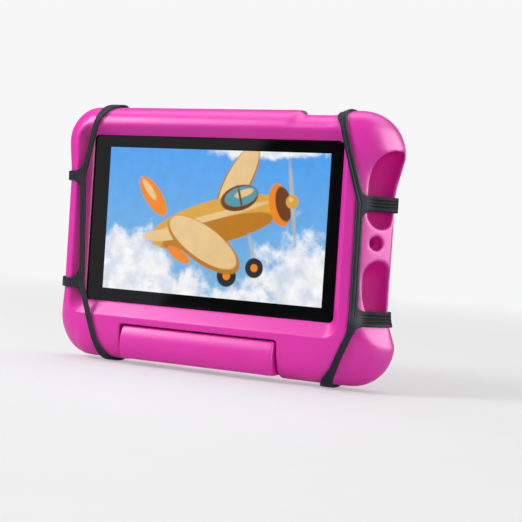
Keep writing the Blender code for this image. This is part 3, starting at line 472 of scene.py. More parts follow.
def grip_outline():
    """The grip's section as (y, z) points: a shallow arc in front and two rounded corners behind."""
    half_height, rise = (GRIP_TOP - GRIP_BOTTOM) / 2, GRIP_EDGE - GRIP_CROWN
    radius = (half_height ** 2 + rise ** 2) / (2 * rise)
    centre_y, centre_z = GRIP_CROWN + radius, (GRIP_TOP + GRIP_BOTTOM) / 2
    spread = asin(half_height / radius)
    outline = []
    for i in range(-CROWN_STEPS, CROWN_STEPS + 1):
        angle = spread * i / CROWN_STEPS
        outline.append((centre_y - radius * cos(angle), centre_z + radius * sin(angle)))
    for first, z in ((90.0, GRIP_TOP - GRIP_ROUND), (0.0, GRIP_BOTTOM + GRIP_ROUND)):
        for i in range(ROUND_STEPS + 1):
            angle = radians(first - 90.0 * i / ROUND_STEPS)
            outline.append((GRIP_BACK - GRIP_ROUND + GRIP_ROUND * cos(angle), z + GRIP_ROUND * sin(angle)))
    return outline


def build_handle():
    grip = [(HANDLE_X - GRIP_HALF, y, z) for y, z in grip_outline()]
    handle = prism("foam_handle", grip, Vector((2 * GRIP_HALF, 0.0, 0.0)))
    round_off = handle.modifiers.new("round ends", "BEVEL")
    round_off.width, round_off.segments, round_off.limit_method = GRIP_END_ROUND, 6, "ANGLE"
    round_off.angle_limit = radians(50)
    joined, bores = [], []
    for side in (-1, 1):
        middle = HANDLE_X + side * (GRIP_HALF - ARM_WIDTH / 2)
        half = ARM_WIDTH / 2 - ARM_INSET
        arm_back = GRIP_BACK - ARM_SINK
        arm_low = (middle - half, ARM_FRONT, GRIP_TOP - ARM_INTO_GRIP)
        joined.append(box(f"arm_{side}", arm_low, (middle + half, arm_back, PIVOT_Z)))
        end_radius = (arm_back - ARM_FRONT) / 2
        end_start = (middle - half, ARM_FRONT + end_radius, PIVOT_Z)
        joined.append(rod(f"arm_end_{side}", end_start, (2 * half, 0, 0), end_radius))
        bore_start = (middle - ARM_WIDTH, PIVOT_Y, PIVOT_Z)
        bores.append(rod(f"bore_{side}", bore_start, (2 * ARM_WIDTH, 0, 0), BORE))
    combine(handle, "UNION", joined)
    combine(handle, "DIFFERENCE", bores)
    soften(handle, HANDLE_VOXEL, HANDLE_ROUNDS, joined + bores)
    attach(handle, "carry_handle")
    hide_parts("carry_handle")
    return handle


# ---------------------------------------- rubber harness

def rounded(corners, steps):
    """A closed outline of (x, z, radius) corners, each rounded by an arc that touches both its edges."""
    points = []
    for i, (x, z, radius) in enumerate(corners):
        here = Vector((x, z))
        if not radius:
            points.append((x, z))
            continue
        back = (Vector(corners[i - 1][:2]) - here).normalized()
        onward = (Vector(corners[(i + 1) % len(corners)][:2]) - here).normalized()
        half = back.angle(onward) / 2
        middle = here + (back + onward).normalized() * (radius / sin(half))
        first = here + back * (radius / tan(half)) - middle
        last = here + onward * (radius / tan(half)) - middle
        for step in range(steps + 1):
            spoke = first.lerp(last, step / steps).normalized() * radius
            points.append((middle.x + spoke.x, middle.y + spoke.y))
    return points


def net_outline(side, run, meet, top, bottom, tabs, strap, tab, fillet):
    """One side's net, seen from the front: diagonal, upright run, two tabs round the side, diagonal."""
    upper, lower = tabs
    out = CASE_RIGHT[0] + OVERRUN
    over, under = CASE_TOP + OVERRUN, CASE_BOTTOM - OVERRUN

    def line(start, end):
        return lambda z: start[0] + (end[0] - start[0]) * (z - start[1]) / (end[1] - start[1])

    high, low = line((top, over), (meet[0], upper)), line((bottom, under), (meet[1], lower))
    upright = line((run[0], upper), (run[1], lower))

    def crossing(diagonal, z):
        """The height near z at which a diagonal reaches the upright run."""
        lean = (diagonal(z + STEP) - upright(z + STEP) - diagonal(z) + upright(z)) / STEP
        return z - (diagonal(z) - upright(z)) / lean

    bends = [crossing(high, upper), crossing(low, lower)]
    necks = [over - NECK, under + NECK]
    corners = [(top - strap - FLARE, over, 0.0), (high(necks[0]) - strap, necks[0], BEND)]
    corners += [(upright(z) - strap, z, BEND) for z in bends]
    corners += [(low(necks[1]) - strap, necks[1], BEND), (bottom - strap - FLARE, under, 0.0)]
    corners += [(bottom + strap, under, 0.0), (low(lower - tab) + strap, lower - tab, fillet)]
    corners += [(out, lower - tab, 0.0), (out, lower + tab, 0.0)]
    corners += [(upright(lower + tab) + strap, lower + tab, fillet)]
    corners += [(upright(upper - tab) + strap, upper - tab, fillet)]
    corners += [(out, upper - tab, 0.0), (out, upper + tab, 0.0)]
    corners += [(high(upper + tab) + strap, upper + tab, fillet), (top + strap, over, 0.0)]
    return [(side * x, NET_START, z) for x, z in rounded(corners, FILLET_STEPS)]


def build_net(word, layout):
    """A net is the shell between two sizes of the case's body, trimmed by its outline."""
    net = case_body(f"rubber_net_{word}", RUBBER + GAP)
    inside = case_body("inside", GAP)
    outline = prism("outline", net_outline(**layout), Vector((0.0, NET_DEPTH, 0.0)))
    combine(net, "DIFFERENCE", [inside])
    combine(net, "INTERSECT", [outline])
    soften(net, NET_VOXEL, NET_ROUNDS, [inside, outline])
    net.visible_glossy = False
    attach(net, ROOT)
    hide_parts(f"harness_{word}")
    return net


# ---------------------------------------- materials

# The part of a noise's range in which most of it lies
NOISE = (0.3, 0.7)

# Colours, dark before light.  Foam: its own colour in the open, then painted shade in a crevice, painted
# shade inside the side openings, and painted shade on recessed faces turned right, such as their front lips
FOAM_LIT = ((0.78, 0.018, 0.40), (0.85, 0.023, 0.45))
FOAM_CREVICE_SHADE, FOAM_HOLLOW_SHADE, FOAM_RIGHT_FACING_SHADE = (0.50, 0.004, 0.20), (0.64, 0.008, 0.26), (0.26, 0.004, 0.075)
TAB_SHADES = ((0.005, 0.006, 0.008), (0.010, 0.011, 0.015))
# Straps in front: the same rubber painted lighter and bluer, a painted sheen
STRAP_SHEEN_SHADES = ((0.014, 0.017, 0.024), (0.022, 0.026, 0.036))
BOARD_MASK, PLATED_PAD = ((0.006, 0.10, 0.035), (0.02, 0.19, 0.07)), (0.62, 0.45, 0.18)
FOIL_SHADES = ((0.46, 0.47, 0.49), (0.6, 0.61, 0.63))
FILM_SHADES = ((0.30, 0.10, 0.015), (0.55, 0.24, 0.05))
GAUZE_SHADES = ((0.006, 0.006, 0.007), (0.06, 0.06, 0.065))
LENS_SHADES, LENS_PUPIL = ((0.004, 0.004, 0.006), (0.03, 0.03, 0.04)), (0.02, 0.03, 0.10)

# How far out the scoops and the jack hole begin to take their painted shade, and where a net's tabs take
# over;
# and the distance within which the foam's own surfaces cast the painted shade of a crevice
HOLLOW_SHADE_START, HOLLOW_SHADE_END = 99.0 * MM, 102.0 * MM
TAB_START, TAB_END = 102.0 * MM, 107.0 * MM
CREVICE_SHADE_REACH = 24.0 * MM

# Ribs and grooves of the nets, as shares of the half width of a strap or tab
RIB_AT, GROOVES_AT = 0.42, (-0.42, 0.0, 0.42)

# Pitches of the film's tracks, the gauze's threads and the lens's rings, and the pupil's soft edge
TRACK_PITCH, THREAD_PITCH, RING_PITCH = 0.8 * MM, 0.55 * MM, 0.45 * MM
PUPIL_EDGE = (0.9 * MM, 1.3 * MM)


class Paint:
    """A material's nodes, with short ways to add and join them."""

    def __init__(self, name, colour=(0.5, 0.5, 0.5), roughness=0.5, metallic=0.0):
        self.mat = bpy.data.materials.new(name)
        self.mat.use_nodes = True
        self.tree = self.mat.node_tree
        self.surface = self.tree.nodes["Principled BSDF"]
        self.set("Base Color", (*colour, 1.0))
        self.set("Roughness", roughness)
        self.set("Metallic", metallic)
        self.where = self.add("ShaderNodeTexCoord").outputs["Object"]

    def add(self, kind, **settings):
        node = self.tree.nodes.new(kind)
        for key, value in settings.items():
            setattr(node, key, value)
        return node

    def put(self, socket, value):
        if isinstance(value, bpy.types.NodeSocket):
            self.tree.links.new(value, socket)
        else:
            socket.default_value = value

    def set(self, name, value):
        self.put(self.surface.inputs[name], value)

    def math(self, operation, *values):
        node = self.add("ShaderNodeMath", operation=operation)
        for socket, value in zip(node.inputs, values):
            self.put(socket, value)
        return node.outputs[0]

    def ramp(self, value, low, high, to_low=0.0, to_high=1.0, smooth_step=False):
        node = self.add("ShaderNodeMapRange", interpolation_type="SMOOTHSTEP" if smooth_step else "LINEAR")
        for socket, number in zip(node.inputs, (value, low, high, to_low, to_high)):
            self.put(socket, number)
        return node.outputs["Result"]

    def mix(self, share, first, second):
        node = self.add("ShaderNodeMix", data_type="RGBA")
        self.put(node.inputs["Factor"], share)
        for socket, colour in ((node.inputs[6], first), (node.inputs[7], second)):
            self.put(socket, (*colour, 1.0) if isinstance(colour, tuple) else colour)
        return node.outputs[2]

    def place(self, location=(0, 0, 0), turn=0.0, size=(1, 1, 1), of=None):
        """Coordinates local to a spot, an angle about Y in degrees and a size."""
        node = self.add("ShaderNodeMapping", vector_type="TEXTURE")
        self.put(node.inputs["Vector"], of or self.where)
        node.inputs["Location"].default_value = location
        node.inputs["Rotation"].default_value = (0.0, radians(-turn), 0.0)
        node.inputs["Scale"].default_value = size
        return node.outputs[0]

    def split(self, vector):
        node = self.add("ShaderNodeSeparateXYZ")
        self.put(node.inputs[0], vector)
        return node.outputs

    def noise(self, scale, detail=2.0, of=None, rough=0.5):
        node = self.add("ShaderNodeTexNoise")
        self.put(node.inputs["Vector"], of or self.where)
        node.inputs["Scale"].default_value = scale
        node.inputs["Detail"].default_value = detail
        node.inputs["Roughness"].default_value = rough
        return node.outputs["Fac"]

    def bump(self, height, strength, distance, after=None):
        node = self.add("ShaderNodeBump")
        self.put(node.inputs["Height"], height)
        node.inputs["Strength"].default_value = strength
        node.inputs["Distance"].default_value = distance
        if after:
            self.put(node.inputs["Normal"], after)
        self.set("Normal", node.outputs["Normal"])
        return node.outputs["Normal"]

    def emit(self, colour):
        node = self.add("ShaderNodeEmission")
        self.put(node.inputs["Color"], colour)
        return node.outputs[0]

    def length(self, vector):
        node = self.add("ShaderNodeVectorMath", operation="LENGTH")
        self.put(node.inputs[0], vector)
        return node.outputs["Value"]

    def end_with(self, shader):
        """Puts another shader in place of the one the material began with."""
        output = next(node for node in self.tree.nodes if node.type == "OUTPUT_MATERIAL")
        self.put(output.inputs["Surface"], shader)

    def open_share(self, reach):
        """How open the surface is to its surroundings: 1 in the open, towards 0 in a recess."""
        node = self.add("ShaderNodeAmbientOcclusion", samples=8, only_local=True)
        node.inputs["Distance"].default_value = reach
        return node.outputs["AO"]


def foam_material():
    """Closed-cell foam with a smooth skin; painted shade darkens it in crevices, down inside the scoops and
    holes and on recessed faces turned right, and it is duller in the crevices, scoops and holes.
    """
    paint = Paint("pink_foam")
    # Painted shade: the foam's colour darkens where its own surfaces close round it, as in a crevice
    depth = paint.ramp(paint.open_share(CREVICE_SHADE_REACH), 0.35, 0.95, smooth_step=True)
    inside = paint.add("ShaderNodeAttribute", attribute_name="recess").outputs["Fac"]
    across, _, _ = paint.split(paint.where)
    # Painted shade down inside the side scoops and the jack hole
    sunk = paint.ramp(inside, 0.05, 0.45, smooth_step=True)
    hollow_shade = paint.math("MULTIPLY", sunk, paint.ramp(across, HOLLOW_SHADE_START, HOLLOW_SHADE_END))
    mottle = paint.ramp(paint.noise(60.0, 3.0), *NOISE, 0.96, 1.0)
    lit = paint.mix(mottle, *FOAM_LIT)
    shaded = paint.mix(depth, FOAM_CREVICE_SHADE, lit)
    # Painted shade on recessed faces turned to the right, and a little on those turned down, such as the
    # window's left bevel
    faces = paint.add("ShaderNodeNewGeometry").outputs["Normal"]
    right, _, up = paint.split(faces)
    turned = paint.math("SUBTRACT", right, paint.math("MULTIPLY", up, 0.35))
    right_facing_shade = paint.math("MULTIPLY", paint.ramp(turned, 0.25, 0.65, 0.0, 0.8), paint.ramp(inside, 0.05, 0.16))
    shaded = paint.mix(right_facing_shade, shaded, FOAM_RIGHT_FACING_SHADE)
    paint.set("Base Color", paint.mix(hollow_shade, shaded, FOAM_HOLLOW_SHADE))
    smoothness = paint.ramp(paint.noise(45.0), *NOISE, 0.33, 0.39)
    dull = paint.math("MAXIMUM", hollow_shade, paint.ramp(depth, 0.0, 1.0, 1.0, 0.0))
    paint.set("Roughness", paint.math("ADD", smoothness, paint.math("MULTIPLY", dull, 0.25)))
    paint.set("Specular IOR Level", paint.ramp(dull, 0.1, 0.8, 0.6, 0.06))
    skin = paint.bump(paint.noise(2600.0, 2.0), 0.10, 0.12 * MM)
    paint.bump(paint.noise(320.0, 2.0), 0.04, 0.25 * MM, skin)
    return paint.mat


def rubber_material(name, layout=None):
    """Satin rubber; a net's straps carry two fine ribs along them and its tabs three shallow grooves, and
    the straps' front run is painted lighter and bluer as a sheen.
    """
    paint = Paint(name, roughness=0.45)
    cloudy = paint.noise(70.0, 3.0)
    dark = paint.mix(cloudy, *TAB_SHADES)
    paint.set("Roughness", paint.ramp(paint.noise(90.0), *NOISE, 0.42, 0.52))
    grain = paint.bump(paint.noise(2200.0), 0.14, 0.1 * MM)
    if not layout:
        paint.set("Base Color", dark)
        paint.set("Specular IOR Level", 0.16)
        return paint.mat
    x, _, z = paint.split(paint.where)
    out = paint.math("MULTIPLY", x, layout["side"])
    beyond = paint.ramp(out, TAB_START, TAB_END, smooth_step=True)
    upper, lower = layout["tabs"]
    middle = paint.ramp(z, lower, upper, layout["run"][1], layout["run"][0])
    for end, height, reach, way in ((0, upper, CASE_TOP, 1.0), (1, lower, CASE_BOTTOM, -1.0)):
        slope = (layout[("top", "bottom")[end]] - layout["meet"][end]) / abs(reach + way * OVERRUN - height)
        past = paint.math("MAXIMUM", paint.math("MULTIPLY", paint.math("SUBTRACT", z, height), way), 0.0)
        middle = paint.math("ADD", middle, paint.math("MULTIPLY", past, slope))
    offset = paint.math("ABSOLUTE", paint.math("SUBTRACT", out, middle))
    from_rib = paint.math("ABSOLUTE", paint.math("SUBTRACT", offset, layout["strap"] * RIB_AT))
    ribs = paint.math("MULTIPLY", paint.ramp(from_rib, 0.1 * MM, 0.5 * MM, 1.0, 0.0, smooth_step=True), 0.7)
    grooves = None
    for height in layout["tabs"]:
        for share in GROOVES_AT:
            away = paint.math("ABSOLUTE", paint.math("SUBTRACT", z, height + share * layout["tab"]))
            line = paint.ramp(away, 0.15 * MM, 0.65 * MM, 1.0, 0.0, smooth_step=True)
            grooves = line if grooves is None else paint.math("MAXIMUM", grooves, line)
    on_tab = paint.math("MULTIPLY", grooves, beyond)
    on_strap = paint.math("MULTIPLY", ribs, paint.math("SUBTRACT", 1.0, beyond))
    cuts = paint.math("ADD", on_tab, on_strap)
    paint.bump(paint.math("MULTIPLY", cuts, -1.0), 1.0, 0.6 * MM, grain)
    # Painted sheen: the straps' front run is coloured lighter and bluer than the tabs, which keep the
    # rubber's own near-black
    light = paint.mix(cloudy, *STRAP_SHEEN_SHADES)
    paint.set("Base Color", paint.mix(beyond, light, dark))
    paint.set("Specular IOR Level", paint.ramp(beyond, 0.0, 1.0, 0.24, 0.08))
    return paint.mat


def moulded_material(name, colour, roughness):
    """Moulded plastic with a fine spark-eroded grain."""
    paint = Paint(name, colour, roughness)
    lighter = tuple(min(1.0, channel * 1.35 + 0.004) for channel in colour)
    paint.set("Base Color", paint.mix(paint.noise(150.0, 4.0), colour, lighter))
    paint.set("Roughness", paint.ramp(paint.noise(220.0), *NOISE, roughness * 0.88, roughness * 1.12))
    paint.bump(paint.noise(1700.0, 3.0), 0.25, 0.08 * MM)
    return paint.mat


def metal_material(name, colour, roughness):
    """Metal with fine drawn marks along Z."""
    paint = Paint(name, colour, roughness, 1.0)
    streak = paint.noise(900.0, 3.0, paint.place(size=(1.0, 1.0, 14.0)))
    darker = tuple(channel * 0.82 for channel in colour)
    paint.set("Base Color", paint.mix(streak, darker, colour))
    paint.set("Roughness", paint.ramp(streak, *NOISE, roughness * 0.8, roughness * 1.25))
    paint.bump(streak, 0.12, 0.04 * MM)
    return paint.mat


def board_material():
    """Green mask over straight tracks, with plated pads scattered in a loose grid."""
    paint = Paint("solder_mask", roughness=0.35)
    tracks = paint.add("ShaderNodeTexBrick", offset=0.5, squash=1.0)
    flat = paint.add("ShaderNodeCombineXYZ")
    x, _, z = paint.split(paint.where)
    paint.put(flat.inputs[0], x)
    paint.put(flat.inputs[1], z)
    paint.put(tracks.inputs["Vector"], flat.outputs[0])
    layout = (("Scale", 260.0), ("Mortar Size", 0.06), ("Brick Width", 1.7), ("Row Height", 0.35))
    for socket, value in layout:
        tracks.inputs[socket].default_value = value
    mask = paint.mix(tracks.outputs["Fac"], *BOARD_MASK)
    cells = paint.add("ShaderNodeTexVoronoi", feature="F1", distance="CHEBYCHEV")
    cells.inputs["Scale"].default_value = 420.0
    cells.inputs["Randomness"].default_value = 0.35
    paint.put(cells.inputs["Vector"], flat.outputs[0])
    pad = paint.math("LESS_THAN", cells.outputs["Distance"], 0.14)
    paint.set("Base Color", paint.mix(pad, mask, PLATED_PAD))
    paint.set("Metallic", pad)
    paint.bump(tracks.outputs["Fac"], 0.2, 0.03 * MM)
    return paint.mat


def foil_material():
    """The battery's creased pouch."""
    paint = Paint("foil_pouch", (0.55, 0.56, 0.58), 0.36, 0.75)
    crease = paint.noise(130.0, 6.0, rough=0.65)
    paint.set("Roughness", paint.ramp(crease, *NOISE, 0.26, 0.46))
    paint.set("Base Color", paint.mix(crease, *FOIL_SHADES))
    paint.bump(crease, 0.35, 0.4 * MM)
    return paint.mat


def cable_material():
    """Amber film over narrow copper tracks."""
    paint = Paint("film_cable", roughness=0.25)
    _, _, z = paint.split(paint.where)
    wave = paint.math("SINE", paint.math("MULTIPLY", z, 2 * pi / TRACK_PITCH))
    paint.set("Base Color", paint.mix(paint.ramp(wave, -0.1, 0.1), *FILM_SHADES))
    paint.bump(wave, 0.2, 0.03 * MM)
    return paint.mat


def mesh_material():
    """A speaker's woven gauze."""
    paint = Paint("speaker_gauze", roughness=0.7)
    x, _, z = paint.split(paint.where)
    waves = [paint.math("SINE", paint.math("MULTIPLY", axis, 2 * pi / THREAD_PITCH)) for axis in (x, z)]
    weave = paint.math("MULTIPLY", *waves)
    paint.set("Base Color", paint.mix(paint.ramp(weave, -0.4, 0.4), *GAUZE_SHADES))
    paint.bump(weave, 0.6, 0.12 * MM)
    return paint.mat


def lens_material():
    """Coated glass over dark stepped rings."""
    paint = Paint("camera_glass", roughness=0.03)
    middle = ORIGIN + Vector((CAMERA_X, 0.0, CAMERA_Z))
    x, _, z = paint.split(paint.place(location=middle))
    radius = paint.math("SQRT", paint.math("ADD", paint.math("POWER", x, 2.0), paint.math("POWER", z, 2.0)))
    rings = paint.math("PINGPONG", radius, RING_PITCH)
    shade = paint.mix(paint.ramp(rings, 0.0, RING_PITCH), *LENS_SHADES)
    pupil = paint.ramp(radius, *PUPIL_EDGE, 1.0, 0.0)
    paint.set("Base Color", paint.mix(pupil, shade, LENS_PUPIL))
    paint.set("Coat Weight", 1.0)
    paint.set("Coat Roughness", 0.02)
    return paint.mat


# ---------------------------------------- the lit screen

# The picture, in millimetres from the display's middle: its half size, sky colours at the bottom and
# the top, cloud colours dark and light, and how softly its shapes end
PICTURE_HALF = (76.7, 44.95)
SKY_LOW, SKY_HIGH, SKY_HALF = (0.21, 0.47, 0.72), (0.085, 0.36, 0.86), 45.0
CLOUD_SHADES = ((0.66, 0.72, 0.82), (0.93, 0.93, 0.93))
SHAPE_EDGE, ENDLESS = 0.35, 1e6
CLOUDS = (
    # middle, half sizes
    ((-58.0, -30.0), (36.0, 26.0)),
    ((-30.0, -48.0), (44.0, 20.0)),
    ((66.0, -34.0), (44.0, 34.0)),
    ((22.0, -50.0), (52.0, 15.0)),
    ((34.0, 48.0), (44.0, 9.0)),
)
CREAM, MUSTARD = (0.80, 0.56, 0.27), (0.72, 0.38, 0.06)
AMBER, ORANGE = (0.50, 0.20, 0.02), (0.86, 0.25, 0.02)
BROWN, TEAL = (0.16, 0.055, 0.02), (0.10, 0.33, 0.40)
STEEL, DARK = (0.42, 0.47, 0.50), (0.03, 0.03, 0.035)
AEROPLANE = (
    # kind, middle, half sizes, turn in degrees, colour, in drawing order
    ("oval", (16.0, 26.0), (9.0, 25.0), -28.0, AMBER),
    ("oval", (16.5, 27.5), (7.8, 23.5), -28.0, CREAM),
    ("oval", (-43.0, 15.0), (6.0, 15.0), 40.0, ORANGE),
    ("oval", (-46.0, 19.0), (2.2, 8.0), 40.0, CREAM),
    ("oval", (2.0, 1.0), (47.0, 13.5), 16.0, MUSTARD),
    ("oval", (4.0, -4.5), (40.0, 7.5), 16.0, AMBER),
    ("oval", (3.0, 5.0), (38.0, 2.0), 16.0, CREAM),
    ("oval", (-34.0, -9.0), (15.0, 3.6), 6.0, CREAM),
    ("oval", (18.0, 16.5), (13.0, 7.6), 16.0, BROWN),
    ("oval", (19.0, 17.5), (11.2, 5.8), 16.0, TEAL),
    ("oval", (21.0, 19.5), (6.5, 2.2), 20.0, CREAM),
    ("bar", (18.5, 17.0), (0.7, 6.0), 16.0, BROWN),
    ("bar", (12.0, -22.0), (1.1, 10.0), -10.0, STEEL),
    ("bar", (29.0, -16.0), (1.1, 10.0), 14.0, STEEL),
    ("oval", (12.5, -31.0), (6.6, 6.6), 0.0, DARK),
    ("oval", (12.5, -31.0), (2.6, 2.6), 0.0, ORANGE),
    ("oval", (31.0, -25.0), (6.0, 6.0), 0.0, DARK),
    ("oval", (31.0, -25.0), (2.4, 2.4), 0.0, ORANGE),
    ("oval", (-5.0, -13.0), (11.5, 29.0), 62.0, AMBER),
    ("oval", (-5.6, -11.6), (10.0, 27.0), 62.0, CREAM),
    ("oval", (-22.0, -20.5), (9.2, 3.4), -28.0, ORANGE),
    ("oval", (45.5, 13.5), (7.0, 13.0), 16.0, ORANGE),
    ("oval", (48.0, 14.2), (5.2, 10.6), 16.0, BROWN),
    ("oval", (53.5, 15.8), (1.5, 25.0), 8.0, STEEL),
    ("oval", (53.5, 15.8), (4.2, 4.2), 0.0, MUSTARD),
    ("oval", (52.6, 17.0), (1.5, 1.5), 0.0, CREAM),
)


def glass_material():
    """Black-backed glass, lit with a toy aeroplane among clouds over the display's own area."""
    paint = Paint("screen_glass", (0.0022, 0.0022, 0.0025), 0.035)
    spot = paint.place(location=ORIGIN, size=(MM, MM, MM))
    x, _, z = paint.split(spot)
    sky = paint.mix(paint.ramp(z, -SKY_HALF, SKY_HALF), SKY_LOW, SKY_HIGH)
    puffs = paint.noise(0.055, 6.0, spot, 0.62)
    cloud = None
    for (cx, cz), (wide, high) in CLOUDS:
        local = paint.place((cx, 0.0, cz), 0.0, (wide, ENDLESS, high), spot)
        body = paint.math("SUBTRACT", 1.0, paint.length(local))
        cloud = body if cloud is None else paint.math("MAXIMUM", cloud, body)
    edge = paint.math("ADD", cloud, paint.ramp(puffs, 0.0, 1.0, -1.0, 1.0))
    white = paint.mix(paint.ramp(paint.noise(0.09, 4.0, spot), 0.35, 0.6), *CLOUD_SHADES)
    picture = paint.mix(paint.ramp(edge, -0.05, 0.4, smooth_step=True), sky, white)
    for kind, (cx, cz), (wide, high), turn, colour in AEROPLANE:
        local = paint.place((cx, 0.0, cz), turn, (wide, ENDLESS, high), spot)
        if kind == "oval":
            distance = paint.length(local)
        else:
            across, _, up = paint.split(local)
            distance = paint.math("MAXIMUM", paint.math("ABSOLUTE", across), paint.math("ABSOLUTE", up))
        soft = SHAPE_EDGE / min(wide, high)
        picture = paint.mix(paint.ramp(distance, 1 - soft, 1 + soft, 1.0, 0.0), picture, colour)
    shading = paint.ramp(paint.noise(0.12, 3.0, spot), *NOISE, 0.94, 1.03)
    inside = shading
    for axis, half in ((x, PICTURE_HALF[0]), (z, PICTURE_HALF[1])):
        inside = paint.math("MULTIPLY", inside, paint.math("LESS_THAN", paint.math("ABSOLUTE", axis), half))
    paint.set("Emission Color", picture)
    paint.set("Emission Strength", inside)
    smear = paint.noise(0.03, 3.0, spot)
    paint.set("Roughness", paint.ramp(smear, 0.35, 0.7, 0.02, 0.06))
    return paint.mat


def coat(obj, mat):
    obj.data.materials.clear()
    obj.data.materials.append(mat)


NODE_FINISHES = {
    "touch_glass": glass_material,
    "rear_camera_lens": lens_material,
    "main_board": board_material,
    "display_cable": cable_material,
    "battery_pack": foil_material,
    "speaker_upper": mesh_material,
    "speaker_lower": mesh_material,
}
SLOT_FINISHES = {
    "plastic": ("moulded_black", (0.018, 0.018, 0.020), 0.48),
    "display": ("panel_back", (0.09, 0.09, 0.10), 0.3),
}
PLATED_STEEL = ("plated_steel", (0.62, 0.62, 0.64), 0.28)

# How wide the edges of the frame's own nodes are eased, in millimetres, by the start of their names
EASED = {
    "headrest_pad": 0.7, "pad_rivet": 0.5, "pivot_pin": 0.3, "rear_cover": 0.5,
    "power_button": 0.35, "volume_rocker": 0.35, "rear_camera": 0.25, "processor_shield": 0.25,
    "battery_pack": 0.6, "wireless_module": 0.2, "card_socket": 0.15, "speaker": 0.3,
    "charge_port": 0.15, "headphone_jack": 0.2, "power_switch": 0.15, "volume_switch": 0.15,
    "touch_glass": 0.15, "front_camera": 0.15, "microphone": 0.15,
}
EASE_STEPS, EASE_ANGLE = 3, radians(40)


def node_material(name, slot):
    if name in NODE_FINISHES:
        return NODE_FINISHES[name]()
    if slot in SLOT_FINISHES:
        return moulded_material(*SLOT_FINISHES[slot])
    if slot == "rubber":
        return rubber_material("pad_rubber")
    if slot == "foam":
        return foam_material()
    return metal_material(*PLATED_STEEL)


def finish_frame():
    """Every node that stays gets its own procedural finish, and its edges are eased."""
    slots = {entry["node"]: entry["material_slot"] for entry in frame["record"]["subparts"]}
    made = {}
    for name, obj in frame["nodes"].items():
        key = NODE_FINISHES.get(name, slots[name])
        if key not in made:
            made[key] = node_material(name, slots[name])
        for slot_entry in obj.material_slots:
            slot_entry.material = made[key]
        for start, width in EASED.items():
            if name.startswith(start):
                ease = obj.modifiers.new("eased edges", "BEVEL")
                ease.width, ease.segments, ease.limit_method = width * MM, EASE_STEPS, "ANGLE"
                ease.angle_limit = EASE_ANGLE
                break


# ---------------------------------------- stage

# Soft lights: name, place, aim, size, radiance, and the kind of ray that misses the light
SOFTBOXES = (
    ("top_box", (-0.1, 0.2, 1.15), ORIGIN, (1.3, 0.9), 2.1, None),
    ("key_box", (-1.05, -0.8, 0.95), ORIGIN, (0.6, 0.6), 15.0, None),
    ("right_sheen", (1.25, 0.1, 0.95), (0.0, 0.1, 0.95), (2.4, 2.0), 7.0, "diffuse"),
    ("right_fill", (1.0, -0.8, 0.3), ORIGIN, (0.6, 0.6), 3.2, "glossy"),
)


def softbox(name, place, aim, size, radiance, unseen_by):
    data = bpy.data.lights.new(name, "AREA")
    data.shape = "RECTANGLE"
    data.size, data.size_y = size
    data.energy = radiance * pi * size[0] * size[1]
    obj = bpy.data.objects.new(name, data)
    obj.location = place
    obj.rotation_euler = (Vector(aim) - Vector(place)).to_track_quat("-Z", "Y").to_euler()
    obj.visible_diffuse, obj.visible_glossy = unseen_by != "diffuse", unseen_by != "glossy"
    obj.visible_camera = False
    bpy.context.scene.collection.objects.link(obj)


def camera_turn():
    turn = Matrix.Rotation(VIEW_AZIMUTH, 4, "Z") @ Matrix.Rotation(pi / 2 - VIEW_ELEVATION, 4, "X")
    return turn @ Matrix.Rotation(VIEW_ROLL, 4, "Z")


def camera_place():
    return ORIGIN + VIEW_TARGET + camera_turn() @ Vector((0.0, 0.0, VIEW_DISTANCE))


def plane_piece(name, corners):
    bm = bmesh.new()
    bm.faces.new([bm.verts.new(corner) for corner in corners])
    return new_piece(name, bm, (0.0, 0.0, 0.0))


def build_flag():
    """A dark card that only the gloss sees, grey to the left of a slanted edge."""
    y, (left, bottom), (right, top) = FLAG_Y, FLAG_LOW, FLAG_HIGH
    flag = plane_piece("flag", [(left, y, bottom), (right, y, bottom), (right, y, top), (left, y, top)])
    flag.visible_camera = flag.visible_diffuse = flag.visible_shadow = flag.visible_transmission = False
    eye = camera_place()
    behind = Vector((eye.x, 2 * ORIGIN.y - eye.y, eye.z))
    ends = []
    for x, z in FLAG_EDGE:
        on_glass = ORIGIN + Vector((x, 0.0, z)) * MM
        ends.append(behind + (on_glass - behind) * ((y - behind.y) / (ORIGIN.y - behind.y)))
    upper, lower = ends
    slant = (upper.x - lower.x) / (upper.z - lower.z)
    paint = Paint("flag")
    x, _, z = paint.split(paint.where)
    edge = paint.math("ADD", paint.math("MULTIPLY", paint.math("SUBTRACT", z, lower.z), slant), lower.x)
    beside = paint.ramp(paint.math("SUBTRACT", x, edge), -FLAG_SOFT, FLAG_SOFT, smooth_step=True)
    paint.end_with(paint.emit(paint.mix(beside, *FLAG_SHADES)))
    coat(flag, paint.mat)


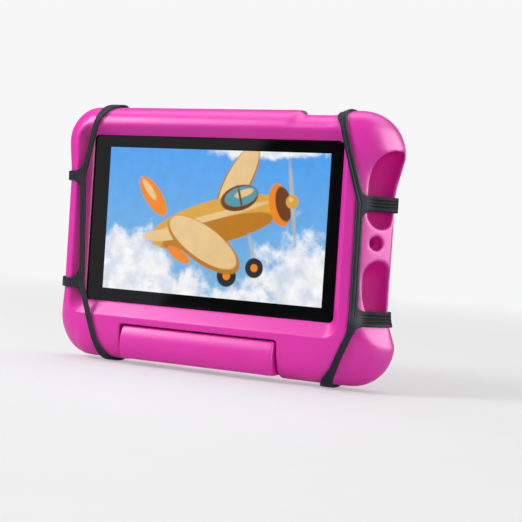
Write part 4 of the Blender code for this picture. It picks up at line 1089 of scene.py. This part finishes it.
def build_floor():
    """A pale floor that fades into the background a little way off, so that no horizon shows."""
    z = CAD_BOX[0].z - FLOOR_DROP
    signs = ((-1, -1), (1, -1), (1, 1), (-1, 1))
    floor = plane_piece("floor", [(x * FLOOR_REACH, y * FLOOR_REACH, z) for x, y in signs])
    paint = Paint("pale_floor", roughness=0.6)
    paint.set("Base Color", paint.mix(paint.noise(30.0, 3.0), *FLOOR_SHADES))
    paint.set("Specular IOR Level", 0.2)
    share = paint.ramp(paint.length(paint.where), FADE_START, FADE_END, FADE_LEAST, 1.0, smooth_step=True)
    seen = paint.add("ShaderNodeLightPath").outputs["Is Camera Ray"]
    blend = paint.add("ShaderNodeMixShader")
    paint.put(blend.inputs[0], share)
    paint.put(blend.inputs[1], paint.surface.outputs[0])
    paint.put(blend.inputs[2], paint.emit(paint.mix(seen, (FLOOR_GLOW,) * 3, (BACKDROP,) * 3)))
    paint.end_with(blend.outputs[0])
    coat(floor, paint.mat)


def build_world():
    """A pale background for the camera, a softer fill for the surfaces and a dim room for the gloss."""
    world = bpy.data.worlds.new("studio")
    bpy.context.scene.world = world
    world.use_nodes = True
    tree = world.node_tree
    background = tree.nodes["Background"]
    path = tree.nodes.new("ShaderNodeLightPath")
    shade = background.inputs["Color"]
    shade.default_value = (*AMBIENT, 1.0)
    current = None
    for ray, colour in (("Is Glossy Ray", ROOM), ("Is Camera Ray", (BACKDROP,) * 3)):
        tint = tree.nodes.new("ShaderNodeMix")
        tint.data_type = "RGBA"
        tint.inputs[6].default_value = (*AMBIENT, 1.0)
        tint.inputs[7].default_value = (*colour, 1.0)
        if current:
            tree.links.new(current, tint.inputs[6])
        tree.links.new(path.outputs[ray], tint.inputs["Factor"])
        current = tint.outputs[2]
    tree.links.new(current, shade)
    background.inputs["Strength"].default_value = 1.0


def build_stage():
    build_floor()
    build_world()
    build_flag()
    for settings in SOFTBOXES:
        softbox(*settings)


def build_camera():
    data = bpy.data.cameras.new("camera")
    data.lens, data.sensor_width = VIEW_LENS, SENSOR_WIDTH
    obj = bpy.data.objects.new("camera", data)
    bpy.context.scene.collection.objects.link(obj)
    obj.matrix_world = Matrix.Translation(camera_place()) @ camera_turn()
    bpy.context.scene.camera = obj


def main():
    bpy.context.scene.view_settings.view_transform = "Standard"
    finish_frame()
    foam = foam_material()
    coat(build_case(), foam)
    coat(build_handle(), foam)
    for word, layout in HARNESS.items():
        coat(build_net(word, layout), rubber_material(f"net_rubber_{word}", layout))
    build_stage()
    build_camera()


main()
